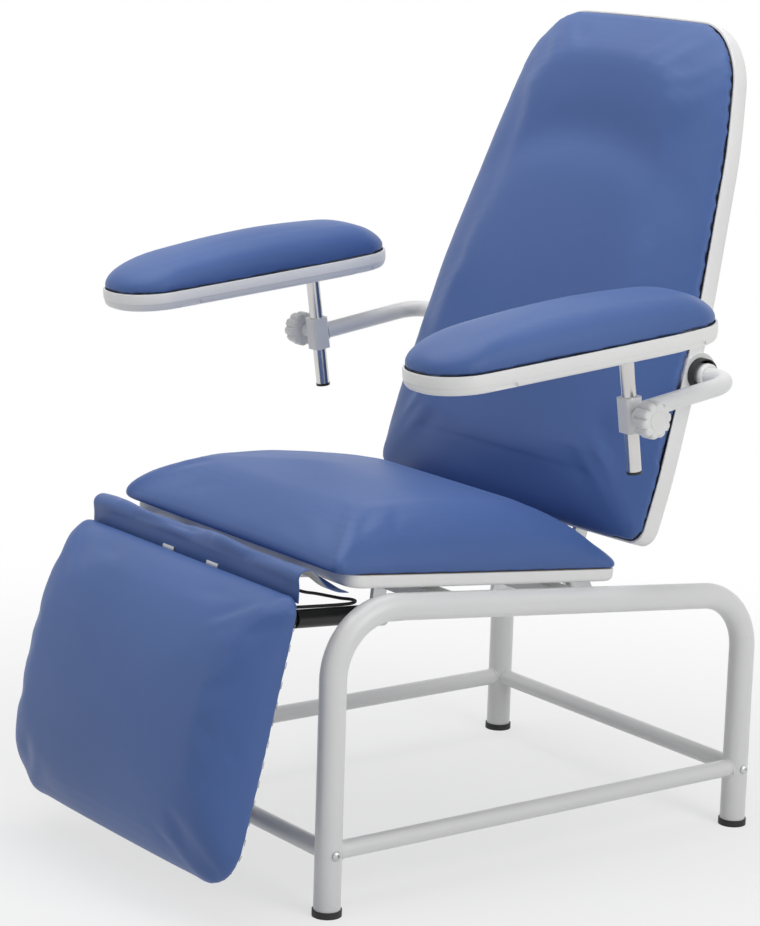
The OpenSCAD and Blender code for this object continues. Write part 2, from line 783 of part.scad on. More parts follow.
module hinge_apron() {
    rows = len(apron_mid_shares);
    nx = apron_columns;
    grid = [for (i = [0:nx])
        let (
            x = apron_w * (i / nx - 0.5),
            q = clamp01((abs(x) - apron_side_x) / apron_side_blend + 0.5),
            e = q * q * (3 - 2 * q),
            fold = apron_fold * (1 + sin(720 * i / nx + 30) * 0.6 + sin(1300 * i / nx) * 0.4),
            line = [for (k = [0:rows - 1])
                lerp(apron_mid_shares[k], apron_side_shares[k], e) * apron_reach],
            raised = [for (k = [0:rows - 1]) apron_point(line, k, fold)]
        )
        [for (k = [0:rows - 1]) [x, raised[k], apron_point(line, k, fold - apron_t, apron_t)]]];
    points = [for (side = [0:1], column = grid, p = column)
        side == 0 ? [p[0], p[1][0], p[1][1]] : [p[0], p[2][0], p[2][1]]];
    half = (nx + 1) * rows;
    faces = concat(
        [for (i = [0:nx - 1], k = [0:rows - 2])
            let (a = i * rows + k, b = a + rows)
            each [[a, a + 1, b + 1], [a, b + 1, b],
                [a + half, b + 1 + half, a + 1 + half], [a + half, b + half, b + 1 + half]]],
        [for (i = [0:nx - 1])
            let (a = i * rows, b = a + rows, c = a + rows - 1, d = b + rows - 1)
            each [[a, b, b + half], [a, b + half, a + half],
                [c, d + half, d], [c, c + half, d + half]]],
        [for (k = [0:rows - 2])
            let (a = k, b = nx * rows + k)
            each [[a, a + half, a + 1 + half], [a, a + 1 + half, a + 1],
                [b, b + 1 + half, b + half], [b, b + 1, b + 1 + half]]]
    );
    color(blue_vinyl) leg_axis_place() polyhedron(points = points, faces = faces, convexity = 8);
}
// A point of the apron's section, moved out along the section's normal
function apron_point(line, k, fold, inner = 0) =
    let (
        a = line[max(0, k - 1)],
        b = line[min(len(line) - 1, k + 1)],
        t = unit([b[0] - a[0], b[1] - a[1]]),
        lift = fold * line[k][2] / apron_reach,
        base = inner > 0 ? (fold + inner) * line[k][2] / apron_reach - inner : lift
    )
    [line[k][0], line[k][1]] + base * [-t[1], t[0]];
hinge_apron();

// Gas spring and its release
module gas_cylinder() {
    color(black) gas_place() difference() {
        union() {
            translate([0, -gas_back, 0]) rotate([90, 0, 0]) cylinder(d = gas_d, h = gas_len);
            translate([0, -gas_back - gas_len, 0])
                rotate([90, 0, 0]) cylinder(d = gas_valve_d, h = gas_valve_len);
        }
        translate([0, -gas_back + cut, 0]) rotate([90, 0, 0])
            cylinder(d = gas_rod_d + 2 * run_gap, h = gas_rod_len + gas_rod_room);
    }
}
gas_cylinder();

module gas_hangers() {
    foot = to_seat(back_hinge_y - gas_drop * sin(gas_slope), back_hinge_h - gas_drop * cos(gas_slope));
    color(steel) difference() {
        seat_place() for (at = [beam_front_y, beam_rear_y])
            let (low = foot[1] + (at - foot[0]) * tan(seat_slope - gas_slope))
            translate([gas_x, at, low]) {
                rotate([90, 0, 0])
                    cylinder(d = gas_d + 2 * hanger_wall, h = hanger_w, center = true);
                translate([-hanger_t / 2, -hanger_w / 2, 0])
                    cube([hanger_t, hanger_w, beam_top - beam_h - seat_gap - low]);
            }
        gas_place() translate([0, -gas_back + cut, 0]) rotate([90, 0, 0])
            cylinder(d = gas_d + 2 * seat_gap, h = gas_len + 2 * cut);
    }
}
gas_hangers();

function spline_point(p, i, u) =
    let (
        a = p[max(0, i - 1)], b = p[i], c = p[i + 1], d = p[min(len(p) - 1, i + 2)]
    )
    (2 * b + (c - a) * u + (2 * a - 5 * b + 4 * c - d) * u * u
        + (3 * b - a - 3 * c + d) * u * u * u) / 2;
module release_cable() {
    last = len(cable_route) - 1;
    line = concat(
        [for (i = [0:last - 1], k = [0:cable_steps - 1])
            spline_point(cable_route, i, k / cable_steps)],
        [cable_route[last]]
    );
    count = len(line);
    points = [for (i = [0:count - 1])
        let (
            t = unit(line[min(count - 1, i + 1)] - line[max(0, i - 1)]),
            u = unit(cross([0, 0, 1], t)),
            w = cross(t, u)
        )
        each [for (k = [0:cable_sides - 1])
            let (a = 360 * k / cable_sides)
            line[i] + cable_d / 2 * (u * cos(a) + w * sin(a))]];
    end = (count - 1) * cable_sides;
    color(black) translate([0, shift_y, 0]) polyhedron(
        points = points,
        faces = concat(
            [[for (i = [0:cable_sides - 1]) i]],
            ring_faces(count, cable_sides),
            [[for (i = [cable_sides - 1:-1:0]) end + i]]
        ),
        convexity = 8
    );
}
release_cable();

module release_place() {
    seat_place() translate([0, release_y, -leg_r]) children();
}
module release_bracket() {
    pin_end_x = release_x - 2 * release_lever_t - fork_gap;
    color(steel) release_place() {
        difference() {
            union() {
                translate([-half_w, -release_w / 2, -release_w / 2])
                    cube([half_w - release_x, release_w / 2 + release_len, release_w]);
                translate([-release_x - cut, release_len - stop_t, -release_w / 2])
                    cube([release_x - stop_x + cut, stop_t, release_w]);
            }
            translate([-half_w, 0, 0]) rotate([90, 0, 0])
                cylinder(d = leg_d + 2 * seat_gap, h = 4 * release_len, center = true);
        }
        translate([-(release_x + pin_end_x) / 2, 0, 0])
            x_rod(release_pin_d, release_x - pin_end_x + cut);
    }
}
release_bracket();

module release_lever() {
    color(black) release_place() translate([-release_x + release_lever_t / 2 + fork_gap, 0, 0])
        difference() {
            union() {
                rotate([-90, 0, 0])
                    hanging_link(release_lever_len, release_lever_w, release_lever_t);
                translate([0, -release_lever_len, 0]) x_rod(release_knob_d, release_lever_t * 2);
            }
            x_rod(release_pin_d + 2 * run_gap, 2 * release_lever_t);
        }
}
release_lever();

// Leg rest
module leg_frame() {
    bar_z = leg_face - seat_gap - leg_bar_t;
    color(steel) leg_place() difference() {
        union() {
            x_rod(bush_d, 2 * bush_half);
            for (side = [-1, 1])
                translate([side * leg_bar_x - leg_bar_w / 2, -leg_bar_len, bar_z])
                    cube([leg_bar_w, leg_bar_len - leg_bar_drop, leg_bar_t]);
            translate([-leg_bar_x, leg_cross_y, bar_z])
                cube([2 * leg_bar_x, leg_bar_w, leg_bar_t]);
        }
        x_rod(leg_shaft_d + 2 * run_gap, 2 * (bush_half + cut));
        leg_screw_places() cylinder(d = seat_screw_d + 2 * seat_gap, h = leg_face);
    }
}
module leg_screw_places() {
    for (side = [-1, 1], share = leg_screw_shares)
        translate([side * leg_bar_x, -share * leg_bar_len, leg_face - seat_gap - leg_bar_t])
            children();
}
leg_frame();

module leg_lever() {
    color(steel) leg_axis_place() rotate([lever_angle, 0, 0]) translate([link_x, 0, 0])
        difference() {
            union() {
                hanging_link(link_r, link_eye_d, lever_t);
                translate([0, 0, -leg_hub_drop]) x_rod(lever_boss_d, lever_t);
            }
            x_rod(bush_d + 2 * seat_gap, lever_t + 2 * cut);
            translate([0, 0, -link_r]) x_rod(link_pin_d + 2 * open_gap, lever_t + 2 * cut);
        }
}
leg_lever();

module leg_pad_place() {
    leg_place() translate([0, leg_pad_top - leg_pad_len, leg_face]) children();
}
module leg_board() {
    color(wood) difference() {
        leg_pad_place() pad_board(leg_pad_len, leg_half, board_inset, board_t, leg_corners);
        leg_place() leg_screw_places()
            cylinder(d = seat_screw_d + 2 * seat_gap, h = leg_screw_len() + seat_gap);
    }
}
function leg_screw_len() = leg_bar_t + board_bite;
leg_board();

module leg_cushion() {
    color(blue_vinyl) leg_pad_place() difference() {
        pad(leg_pad_len, leg_half, leg_crown, leg_round, leg_corners, leg_edge_share);
        translate([0, 0, -cut])
            pad_board(leg_pad_len, leg_half, board_inset - seat_gap, board_t + seat_gap + cut,
                leg_corners);
    }
}
leg_cushion();

module leg_screws() {
    color(steel) leg_place() leg_screw_places()
        screw(seat_screw_d, leg_screw_len(), seat_screw_d * 1.75, seat_screw_d * 0.55);
}
leg_screws();

// Backrest
module back_cross_tube() {
    color(steel) back_axis_place()
        cross_tube(back_tube_d, back_tube_wall, 2 * arm_plate_x - arm_plate_t - 2 * seat_gap);
}
back_cross_tube();

module back_arm(side) {
    front = back_face - seat_gap;
    color(steel) back_place() scale_side(side) difference() {
        translate([arm_plate_x, 0, 0]) union() {
            x_rod(2 * ear_r, arm_plate_t);
            translate([-arm_plate_t / 2, 0, 0]) rotate([90, 0, 90]) linear_extrude(arm_plate_t)
                polygon([
                    [0, -plate_bottom], [0, ear_r], [plate_start, ear_r],
                    [plate_start + plate_step, front], [plate_top, front],
                    [plate_top, front - plate_depth],
                    [plate_start + 2 * plate_depth, front - plate_depth],
                    [plate_start, -plate_bottom]
                ]);
            intersection() {
                translate([0, arm_pivot_up, arm_axis_z])
                    x_rod(socket_d + 2 * socket_boss, arm_plate_t);
                translate([-arm_plate_t, 0, front - 2 * socket_d])
                    cube([2 * arm_plate_t, plate_top, 2 * socket_d]);
            }
            translate([-flange_w / 2, plate_start + plate_step + flange_t, front - flange_t])
                cube([flange_w, plate_top - plate_start - plate_step - flange_t, flange_t]);
        }
        translate([0, arm_pivot_up, arm_axis_z]) x_rod(socket_d + 2 * seat_gap, 2 * half_w);
        translate([arm_plate_x, 0, 0]) x_rod(hinge_pin_d + 2 * run_gap, 2 * arm_plate_t);
        back_screw_places() cylinder(d = back_screw_d + 2 * seat_gap, h = flange_t + 2 * cut);
    }
}
module back_screw_places() {
    for (share = back_screw_shares)
        translate([
            arm_plate_x - flange_screw_x, share * plate_top, back_face - seat_gap - flange_t
        ]) children();
}
back_arm(1);  // back_arm_left
back_arm(-1);  // back_arm_right

module gas_lever() {
    far = gas_drop / cos(lever_angle);
    slot_d = gas_pin_d + 2 * gas_slot_gap;
    color(steel) back_axis_place() rotate([lever_angle - gas_slope, 0, 0])
        for (side = [-1, 1])
            translate([gas_x + side * (gas_eye_t / 2 + fork_gap + lever_t / 2), 0, 0])
                difference() {
                    union() {
                        hanging_link(far + slot_d / 2 + gas_lever_end - gas_lever_w / 2,
                            gas_lever_w, lever_t);
                        x_rod(lever_boss_d, lever_t);
                    }
                    x_rod(back_tube_d + 2 * seat_gap, lever_t + 2 * cut);
                    hanging_link(far, slot_d, lever_t + 2 * cut, gas_drop);
                }
}
gas_lever();

module link_lever() {
    color(steel) back_axis_place() rotate([lever_angle, 0, 0]) translate([link_x, 0, 0])
        difference() {
            union() {
                hanging_link(link_r, link_eye_d, lever_t);
                x_rod(lever_boss_d, lever_t);
            }
            x_rod(back_tube_d + 2 * seat_gap, lever_t + 2 * cut);
            translate([0, 0, -link_r]) x_rod(link_pin_d + 2 * run_gap, lever_t + 2 * cut);
        }
}
link_lever();

module back_pad_place() {
    back_place() translate([0, back_bottom, back_face]) children();
}
module back_board() {
    color(wood) difference() {
        back_pad_place() pad_board(back_len, back_half, board_inset, board_t, back_corners);
        back_place() {
            for (side = [-1, 1]) scale_side(side) back_screw_places()
                cylinder(d = back_screw_d + 2 * seat_gap, h = flange_t + board_bite + seat_gap);
            shell_screw_places()
                cylinder(d = back_screw_d + 2 * seat_gap, h = shell_screw_len() + seat_gap);
        }
    }
}
function shell_screw_len() = back_face - back_floor_z + board_bite;
back_board();

module back_cushion() {
    color(blue_vinyl) back_pad_place() difference() {
        pad(back_len, back_half, back_crown, back_round, back_corners, back_edge_share);
        translate([0, 0, -cut])
            pad_board(back_len, back_half, board_inset - seat_gap, board_t + seat_gap + cut,
                back_corners);
    }
}
back_cushion();

module shell_screw_places() {
    for (x = [-1, 1], share = shell_boss_shares)
        translate([x * shell_boss_x, back_bottom + share * back_len, back_floor_z]) children();
}
module back_shell() {
    rim_z = back_face - seat_gap;
    side_z = back_face - back_shell_t;
    slot_w = arm_plate_t + 2 * plate_slot;
    color(white_paint) back_place() difference() {
        union() {
            difference() {
                union() {
                    translate([0, back_bottom, 0]) dish(
                        [[back_slope_in, back_floor_z], [back_chamfer, side_z - back_chamfer],
                            [back_shell_inset, side_z], [back_shell_inset, rim_z]],
                        back_len, back_half, back_corners
                    );
                    recess(recess_r, recess_x - shell_wall);
                }
                translate([0, back_bottom, 0]) dish(
                    [[back_slope_in + shell_wall, back_floor_z + shell_wall],
                        [back_chamfer + shell_wall, side_z - back_chamfer + shell_wall],
                        [back_shell_inset + shell_wall, side_z + shell_wall],
                        [back_shell_inset + shell_wall, rim_z + cut]],
                    back_len, back_half, back_corners
                );
            }
            difference() {
                recess(recess_r, recess_x - shell_wall);
                translate([0, 0, rim_z]) cube([2 * back_w, 3 * back_len, 2 * cut], center = true);
            }
            shell_screw_places() cylinder(d = shell_boss_d, h = rim_z - back_floor_z);
        }
        recess(recess_r - recess_rim, recess_x);
        translate([0, arm_pivot_up, arm_axis_z]) x_rod(socket_d + 2 * open_gap, 2 * back_w);
        for (side = [-1, 1])
            translate([side * arm_plate_x - slot_w / 2, 0, back_floor_z - cut])
                cube([slot_w, plate_start + 3 * plate_depth, rim_z - back_floor_z]);
        shell_screw_places()
            translate([0, 0, -cut]) cylinder(d = back_screw_d + 2 * seat_gap, h = back_face * 2);
        translate([-back_w, 0, rim_z]) cube([2 * back_w, 2 * back_len, 2 * back_face]);
    }
}
// A round pocket about the arm pivot in each side of the shell, from the given X outwards
module recess(r, from) {
    for (side = [-1, 1]) scale_side(side)
        translate([from, arm_pivot_up, arm_axis_z]) rotate([0, 90, 0])
            cylinder(r = r, h = back_w / 2 - back_shell_inset - from
                + (r < recess_r ? cut : 0));
}
back_shell();

module back_screws() {
    color(steel) back_place() {
        for (side = [-1, 1]) scale_side(side) back_screw_places()
            screw(back_screw_d, flange_t + board_bite, back_screw_d * 1.75, back_screw_d * 0.55);
        shell_screw_places()
            screw(back_screw_d, shell_screw_len(), back_screw_d * 1.75, back_screw_d * 0.55);
    }
}
back_screws();

module arm_socket_tubes() {
    inner = arm_plate_x - arm_plate_t / 2 - pin_end;
    color(white_paint) back_place() for (side = [-1, 1])
        translate([side * (inner + socket_end_x) / 2, arm_pivot_up, arm_axis_z])
            cross_tube(socket_d, socket_wall, socket_end_x - inner);
}
arm_socket_tubes();

module socket_liners() {
    outer_r = recess_r - recess_rim - seat_gap;
    depth = back_w / 2 - back_shell_inset - recess_x - 2 * seat_gap;
    color(black) back_place() difference() {
        for (side = [-1, 1]) scale_side(side)
            translate([recess_x + seat_gap, arm_pivot_up, arm_axis_z]) rotate([0, 90, 0])
                difference() {
                    cylinder(r = outer_r, h = depth);
                    translate([0, 0, liner_wall]) cylinder(r = outer_r - liner_wall, h = depth);
                    translate([0, 0, -cut]) cylinder(d = socket_d + 2 * open_gap, h = depth);
                }
        translate([-back_w, 0, back_face - 2 * seat_gap]) cube([2 * back_w, 2 * back_len, back_face]);
    }
}
socket_liners();

// Link and gas spring rod
link_offset = lever_t / 2 + fork_gap + link_eye_t / 2;
module link_rod() {
    color(steel) link_place() translate([link_offset, 0, 0]) difference() {
        union() {
            rotate([90, 0, 0]) cylinder(d = link_d, h = link_len);
            x_rod(link_eye_d, link_eye_t);
            translate([0, -link_len, 0]) x_rod(link_eye_d, link_eye_t);
        }
        x_rod(link_pin_d + 2 * seat_gap, link_eye_d);
        translate([0, -link_len, 0]) x_rod(link_pin_d + 2 * seat_gap, link_eye_d);
    }
}
link_rod();

module link_pins() {
    low = -lever_t / 2 - pin_end;
    high = lever_t / 2 + fork_gap + link_eye_t + pin_end;
    color(steel) link_place() for (at = [0, -link_len])
        translate([(low + high) / 2, at, 0]) x_rod(link_pin_d, high - low);
}
link_pins();

module gas_rod() {
    color(chrome) gas_place() translate([0, gas_reach, 0]) {
        rotate([90, 0, 0]) cylinder(d = gas_rod_d, h = gas_rod_len);
        x_rod(gas_eye_d, gas_eye_t);
        x_rod(gas_pin_d, gas_eye_t + 2 * (fork_gap + lever_t + pin_end));
    }
}
gas_rod();

// Arms
module arm_tube(side) {
    straight = arm_reach - arm_bend_r - clamp_w / 2 - seat_gap;
    color(white_paint) arm_place(side) {
        translate([arm_inner_x, 0, 0]) rotate([0, 90, 0])
            tube(arm_d, arm_wall, post_x - arm_bend_r - arm_inner_x);
        translate([post_x - arm_bend_r, -arm_bend_r, 0]) bend(arm_d, arm_wall, arm_bend_r, 90);
        translate([post_x, -arm_bend_r, 0]) rotate([90, 0, 0]) tube(arm_d, arm_wall, straight);
    }
}
arm_tube(1);  // arm_tube_left
arm_tube(-1);  // arm_tube_right

module arm_clamp(side) {
    flat = clamp_w / 2 - clamp_round;
    color(white_paint) post_place(side) translate([0, 0, -clamp_h / 2]) difference() {
        union() {
            for (x = [-flat, flat], y = [-flat, flat])
                translate([x, y, 0]) cylinder(r = clamp_round, h = clamp_h);
            translate([-flat, -clamp_w / 2, 0]) cube([2 * flat, clamp_w, clamp_h]);
            translate([-clamp_w / 2, -flat, 0]) cube([clamp_w, 2 * flat, clamp_h]);
        }
        translate([0, 0, -cut]) cylinder(d = post_d + 2 * run_gap, h = clamp_h + 2 * cut);
        translate([clamp_w / 2, 0, clamp_h / 2]) x_rod(knob_stud_d + 2 * run_gap, clamp_w);
    }
}
arm_clamp(1);  // arm_clamp_left
arm_clamp(-1);  // arm_clamp_right

module arm_knob(side) {
    stud_start = post_d / 2 + 2 * seat_gap;
    hub_start = clamp_w / 2 + seat_gap;
    steps = knob_lobes * knob_lobe_steps;
    color(white_paint) post_place(side) rotate([0, 90, 0]) {
        translate([0, 0, stud_start]) cylinder(d = knob_stud_d, h = knob_out - stud_start);
        translate([0, 0, hub_start]) cylinder(d = knob_hub_d, h = knob_out - hub_start);
        translate([0, 0, knob_out]) linear_extrude(knob_t) polygon([for (i = [0:steps - 1])
            let (
                a = 360 * i / steps,
                r = knob_d / 2 - knob_lobe_depth * pow(1 - abs(cos(knob_lobes * a / 2)), 2)
            )
            r * [cos(a), sin(a)]]);
    }
}
arm_knob(1);  // arm_knob_left
arm_knob(-1);  // arm_knob_right

module arm_post(side) {
    color(chrome) post_place(side) translate([0, 0, -post_down]) cylinder(d = post_d, h = post_len);
}
arm_post(1);  // arm_post_left
arm_post(-1);  // arm_post_right

module post_cap(side) {
    color(black) post_place(side) translate([0, 0, -post_down - seat_gap])
        mirror([0, 0, 1]) cylinder(d = post_cap_d, h = post_cap_h);
}
post_cap(1);  // post_cap_left
post_cap(-1);  // post_cap_right

module pad_mount(side) {
    post_top = post_len - post_down;
    color(steel) difference() {
        union() {
            post_place(side) translate([0, 0, arm_shell_up - mount_boss_down])
                cylinder(d = mount_boss_d, h = post_top + mount_roof - arm_shell_up + mount_boss_down);
            post_place(side) rotate([-pad_rise, 0, 0])
                translate([-mount_plate_w / 2, -mount_plate_w / 2, arm_shell_up + shell_wall + seat_gap])
                    cube([mount_plate_w, mount_plate_w, mount_plate_t]);
        }
        post_place(side) cylinder(d = post_d + 2 * run_gap, h = post_top + run_gap);
    }
}
pad_mount(1);  // pad_mount_left
pad_mount(-1);  // pad_mount_right

module arm_shell(side) {
    round_r = arm_shell_round;
    color(white_paint) difference() {
        pad_place(side) difference() {
            union() {
                hollow_dish(
                    [[round_r, 0], [round_r * 0.35, round_r * 0.25], [shell_wall * 0.4, round_r * 0.7],
                        [0, round_r * 1.3], [0, arm_shell_h]],
                    arm_pad_len, arm_half, arm_corners
                );
                intersection() {
                    notch_blocks(shell_wall);
                    dish([[round_r, 0], [0, round_r * 1.3], [0, arm_shell_h]],
                        arm_pad_len, arm_half, arm_corners);
                }
            }
            notch_blocks(0);
        }
        post_place(side) cylinder(d = mount_boss_d + 2 * open_gap, h = 2 * arm_shell_up);
    }
}
// The hollow of each notch in the shell's lower edge, grown by a wall
module notch_blocks(wall) {
    for (share = notch_shares, x = [-1, 1])
        translate([
            x * (arm_half(share) - notch_depth - wall + notch_depth),
            share * arm_pad_len, (notch_h + wall) / 2 - cut / 2
        ]) cube([2 * (notch_depth + wall), notch_len + 2 * wall, notch_h + wall + cut], center = true);
}
arm_shell(1);  // arm_shell_left
arm_shell(-1);  // arm_shell_right

module arm_cushion(side) {
    color(blue_vinyl) pad_place(side) translate([0, 0, arm_shell_h + seat_gap])
        pad(arm_pad_len, arm_half, arm_crown, arm_round, arm_corners, arm_edge_share, arm_draw);
}
arm_cushion(1);  // arm_cushion_left
arm_cushion(-1);  // arm_cushion_right
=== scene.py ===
# %% [markdown]
# # A reclining phlebotomy chair
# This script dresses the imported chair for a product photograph. The rigid pieces come from the
# CAD frame. The upholstery, the moulded shells and the small trim are modelled here, in metres,
# in the same frame: the floor is Z = 0, the front is -Y and the sitter's left is +X.

# %%
import json
import math
import bmesh
import bpy
import numpy as np
from mathutils import Matrix, Vector


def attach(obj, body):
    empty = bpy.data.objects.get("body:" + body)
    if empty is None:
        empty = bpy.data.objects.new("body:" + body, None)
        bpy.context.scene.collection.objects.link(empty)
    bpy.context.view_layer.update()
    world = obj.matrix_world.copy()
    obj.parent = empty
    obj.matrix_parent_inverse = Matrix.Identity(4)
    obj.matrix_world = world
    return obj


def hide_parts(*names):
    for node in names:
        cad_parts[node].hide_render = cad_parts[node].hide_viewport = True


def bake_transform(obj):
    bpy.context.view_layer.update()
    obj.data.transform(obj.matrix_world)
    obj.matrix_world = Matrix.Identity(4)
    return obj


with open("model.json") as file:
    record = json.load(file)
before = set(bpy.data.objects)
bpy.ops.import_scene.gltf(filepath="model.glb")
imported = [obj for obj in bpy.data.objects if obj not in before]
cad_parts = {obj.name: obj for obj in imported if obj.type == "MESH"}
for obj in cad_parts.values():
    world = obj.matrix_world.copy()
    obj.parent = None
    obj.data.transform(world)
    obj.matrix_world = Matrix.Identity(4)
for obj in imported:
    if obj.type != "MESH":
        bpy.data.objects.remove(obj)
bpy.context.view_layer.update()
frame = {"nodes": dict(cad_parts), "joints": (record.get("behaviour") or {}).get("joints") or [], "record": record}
scene = bpy.context.scene
joints = {j["name"]: j for j in frame["joints"]}
slots = {p["node"]: p["material_slot"] for p in frame["record"]["subparts"]}

# %% [markdown]
# ## Camera
# The camera was solved from the four legs and the bent top tubes. Its three axes and its place
# are given as a matrix, and the lens is long, as in a studio picture.

# %%
SHIFT = joints["recline"]["pos_m"][1] - 0.164
right = Vector((0.58754962, 0.80864241, 0.02971369))
up = Vector((-0.18370788, 0.09753836, 0.97812969))
back = Vector((0.78805892, -0.58015836, 0.20586261))
place = Vector((3.58519525, -2.74097246 + SHIFT, 1.51585135))
cam_data = bpy.data.cameras.new("camera")
camera = bpy.data.objects.new("camera", cam_data)
scene.collection.objects.link(camera)
camera.matrix_world = Matrix((
    (right.x, up.x, back.x, place.x),
    (right.y, up.y, back.y, place.y),
    (right.z, up.z, back.z, place.z),
    (0, 0, 0, 1),
))
cam_data.sensor_width = 36
cam_data.lens = 36 * 2961.5 / 926
cam_data.clip_end = 60
scene.camera = camera
print("lens", round(cam_data.lens, 1), "mm")

# %% [markdown]
# ## Shader maths
# One small class wraps a socket, so that a material reads like a formula. Every other node comes
# from its `node` method, which takes a type, settings and inputs.


# %%
class Sock:
    def __init__(self, tree, out):
        self.tree, self.out = tree, out

    def node(self, kind, inputs=None, out=0, **settings):
        made = self.tree.nodes.new("ShaderNode" + kind)
        for key, value in settings.items():
            setattr(made, key, value)
        for key, value in (inputs or {}).items():
            self.feed(made.inputs[key], value)
        return Sock(self.tree, made.outputs[out])

    def feed(self, target, value):
        if isinstance(value, Sock):
            self.tree.links.new(value.out, target)
        else:
            target.default_value = value

    def math(self, op, *values):
        made = self.tree.nodes.new("ShaderNodeMath")
        made.operation = op
        for i, value in enumerate(values):
            self.feed(made.inputs[i], value)
        return Sock(self.tree, made.outputs[0])

    def __add__(self, other): return self.math("ADD", self, other)
    def __radd__(self, other): return self.math("ADD", other, self)
    def __sub__(self, other): return self.math("SUBTRACT", self, other)
    def __rsub__(self, other): return self.math("SUBTRACT", other, self)
    def __mul__(self, other): return self.math("MULTIPLY", self, other)
    def __rmul__(self, other): return self.math("MULTIPLY", other, self)

    def step(self, low, high):
        return self.node("MapRange", {"Value": self, "From Min": low, "From Max": high},
                         interpolation_type="SMOOTHSTEP", clamp=True)

    def mix(self, a, b):
        return self.node("Mix", {0: self, 6: a, 7: b}, out=2, data_type="RGBA")

    def stretch(self, x, y, z):
        return self.node("VectorMath", {0: self, 1: (x, y, z)}, operation="MULTIPLY")


def rgba(r, g, b):
    return (r, g, b, 1.0)


# %% [markdown]
# ## Materials
# A material starts from a Principled shader. Its fixed numbers are set on the shader's own
# sockets. Colour, roughness and bump vary over the surface with the object's own coordinates.


# %%
def material(name, **fixed):
    mat = bpy.data.materials.new(name)
    mat.use_nodes = True
    tree = mat.node_tree
    shader = tree.nodes["Principled BSDF"]
    for key, value in fixed.items():
        shader.inputs[key.replace("_", " ")].default_value = value
    space = tree.nodes.new("ShaderNodeTexCoord")
    return mat, shader, Sock(tree, space.outputs["Object"])


def noise(at, scale, detail=3.0, rough=0.5, warp=0.0):
    return at.node("TexNoise", {"Vector": at, "Scale": scale, "Detail": detail,
                                "Roughness": rough, "Distortion": warp})


def bump(height, strength, distance, before=None):
    inputs = {"Height": height, "Strength": strength, "Distance": distance}
    if before:
        inputs["Normal"] = before
    return height.node("Bump", inputs)


def vinyl(name, tint=1.0, shine=0.0):
    mat, shader, at = material(name, Specular_IOR_Level=0.30, Sheen_Weight=0.04,
                               Sheen_Roughness=0.45, Coat_Weight=0.03, Coat_Roughness=0.33)
    shader.inputs["Sheen Tint"].default_value = rgba(0.72, 0.80, 1.0)
    cloud = noise(at, 3.2, 1.0)
    grain = noise(at, 520.0, 0.0)
    base = cloud.step(0.32, 0.70).mix(
        rgba(0.066 * tint, 0.130 * tint, 0.342 * tint), rgba(0.075 * tint, 0.144 * tint, 0.372 * tint))
    worn = noise(at, 46.0, 2.0, 0.65).step(0.55, 0.80)
    colour = (worn * 0.10).mix(base, rgba(0.100, 0.180, 0.420))
    shader.inputs["Base Color"].default_value = rgba(0.077, 0.148, 0.376)
    at.feed(shader.inputs["Base Color"], colour)
    at.feed(shader.inputs["Roughness"], 0.41 - shine + 0.05 * cloud + 0.05 * grain)
    at.feed(shader.inputs["Normal"], bump(grain + 9.0 * noise(at, 17.0, 0.0), 0.16, 0.0003))
    return mat


def powder(name, light=0.82):
    mat, shader, at = material(name, Specular_IOR_Level=0.5, Coat_Weight=0.25, Coat_Roughness=0.22)
    cloud = noise(at, 6.0, 1.0)
    peel = noise(at, 420.0, 0.0)
    scuff = noise(at.stretch(30.0, 30.0, 160.0), 1.0, 2.0, 0.7).step(0.66, 0.82)
    base = cloud.step(0.3, 0.7).mix(rgba(light * 0.985, light * 0.985, light * 0.99),
                                    rgba(light, light, light * 0.995))
    at.feed(shader.inputs["Base Color"], (scuff * 0.10).mix(base, rgba(0.55, 0.55, 0.55)))
    at.feed(shader.inputs["Roughness"], 0.30 + 0.08 * cloud + 0.10 * scuff)
    at.feed(shader.inputs["Normal"], bump(peel, 0.10, 0.0005))
    return mat


def moulded(name, light=0.88, grainy=0.12):
    mat, shader, at = material(name, Specular_IOR_Level=0.5)
    cloud = noise(at, 5.0, 1.0)
    grain = noise(at, 700.0, 0.0)
    dust = noise(at, 60.0, 2.0, 0.7).step(0.62, 0.80)
    base = cloud.step(0.3, 0.7).mix(rgba(light, light, light * 0.985),
                                    rgba(light * 0.975, light * 0.975, light * 0.97))
    at.feed(shader.inputs["Base Color"], (dust * 0.08).mix(base, rgba(0.58, 0.58, 0.57)))
    at.feed(shader.inputs["Roughness"], 0.34 + 0.08 * cloud + 0.06 * grain)
    at.feed(shader.inputs["Normal"], bump(grain, grainy, 0.0004))
    return mat


def dark(name, light, rough, scale=700.0, strength=0.25):
    mat, shader, at = material(name, Specular_IOR_Level=0.45)
    grain = noise(at, scale, 0.0)
    cloud = noise(at, 12.0, 1.0)
    at.feed(shader.inputs["Base Color"], cloud.step(0.3, 0.7).mix(
        rgba(light, light, light), rgba(light * 1.5, light * 1.5, light * 1.55)))
    at.feed(shader.inputs["Roughness"], rough + 0.12 * grain)
    at.feed(shader.inputs["Normal"], bump(grain, strength, 0.0004))
    return mat


def metal(name, colour, rough, brushed=0.0):
    mat, shader, at = material(name, Metallic=1.0)
    cloud = noise(at, 14.0, 1.0)
    lines = noise(at.stretch(60.0, 60.0, 1400.0), 1.0, 1.0, 0.6)
    dull = tuple(c * 0.86 for c in colour)
    at.feed(shader.inputs["Base Color"], cloud.step(0.3, 0.75).mix(rgba(*colour), rgba(*dull)))
    at.feed(shader.inputs["Roughness"], rough + 0.06 * cloud + brushed * lines)
    at.feed(shader.inputs["Normal"], bump(lines, 0.02 + 0.1 * brushed, 0.0003))
    return mat


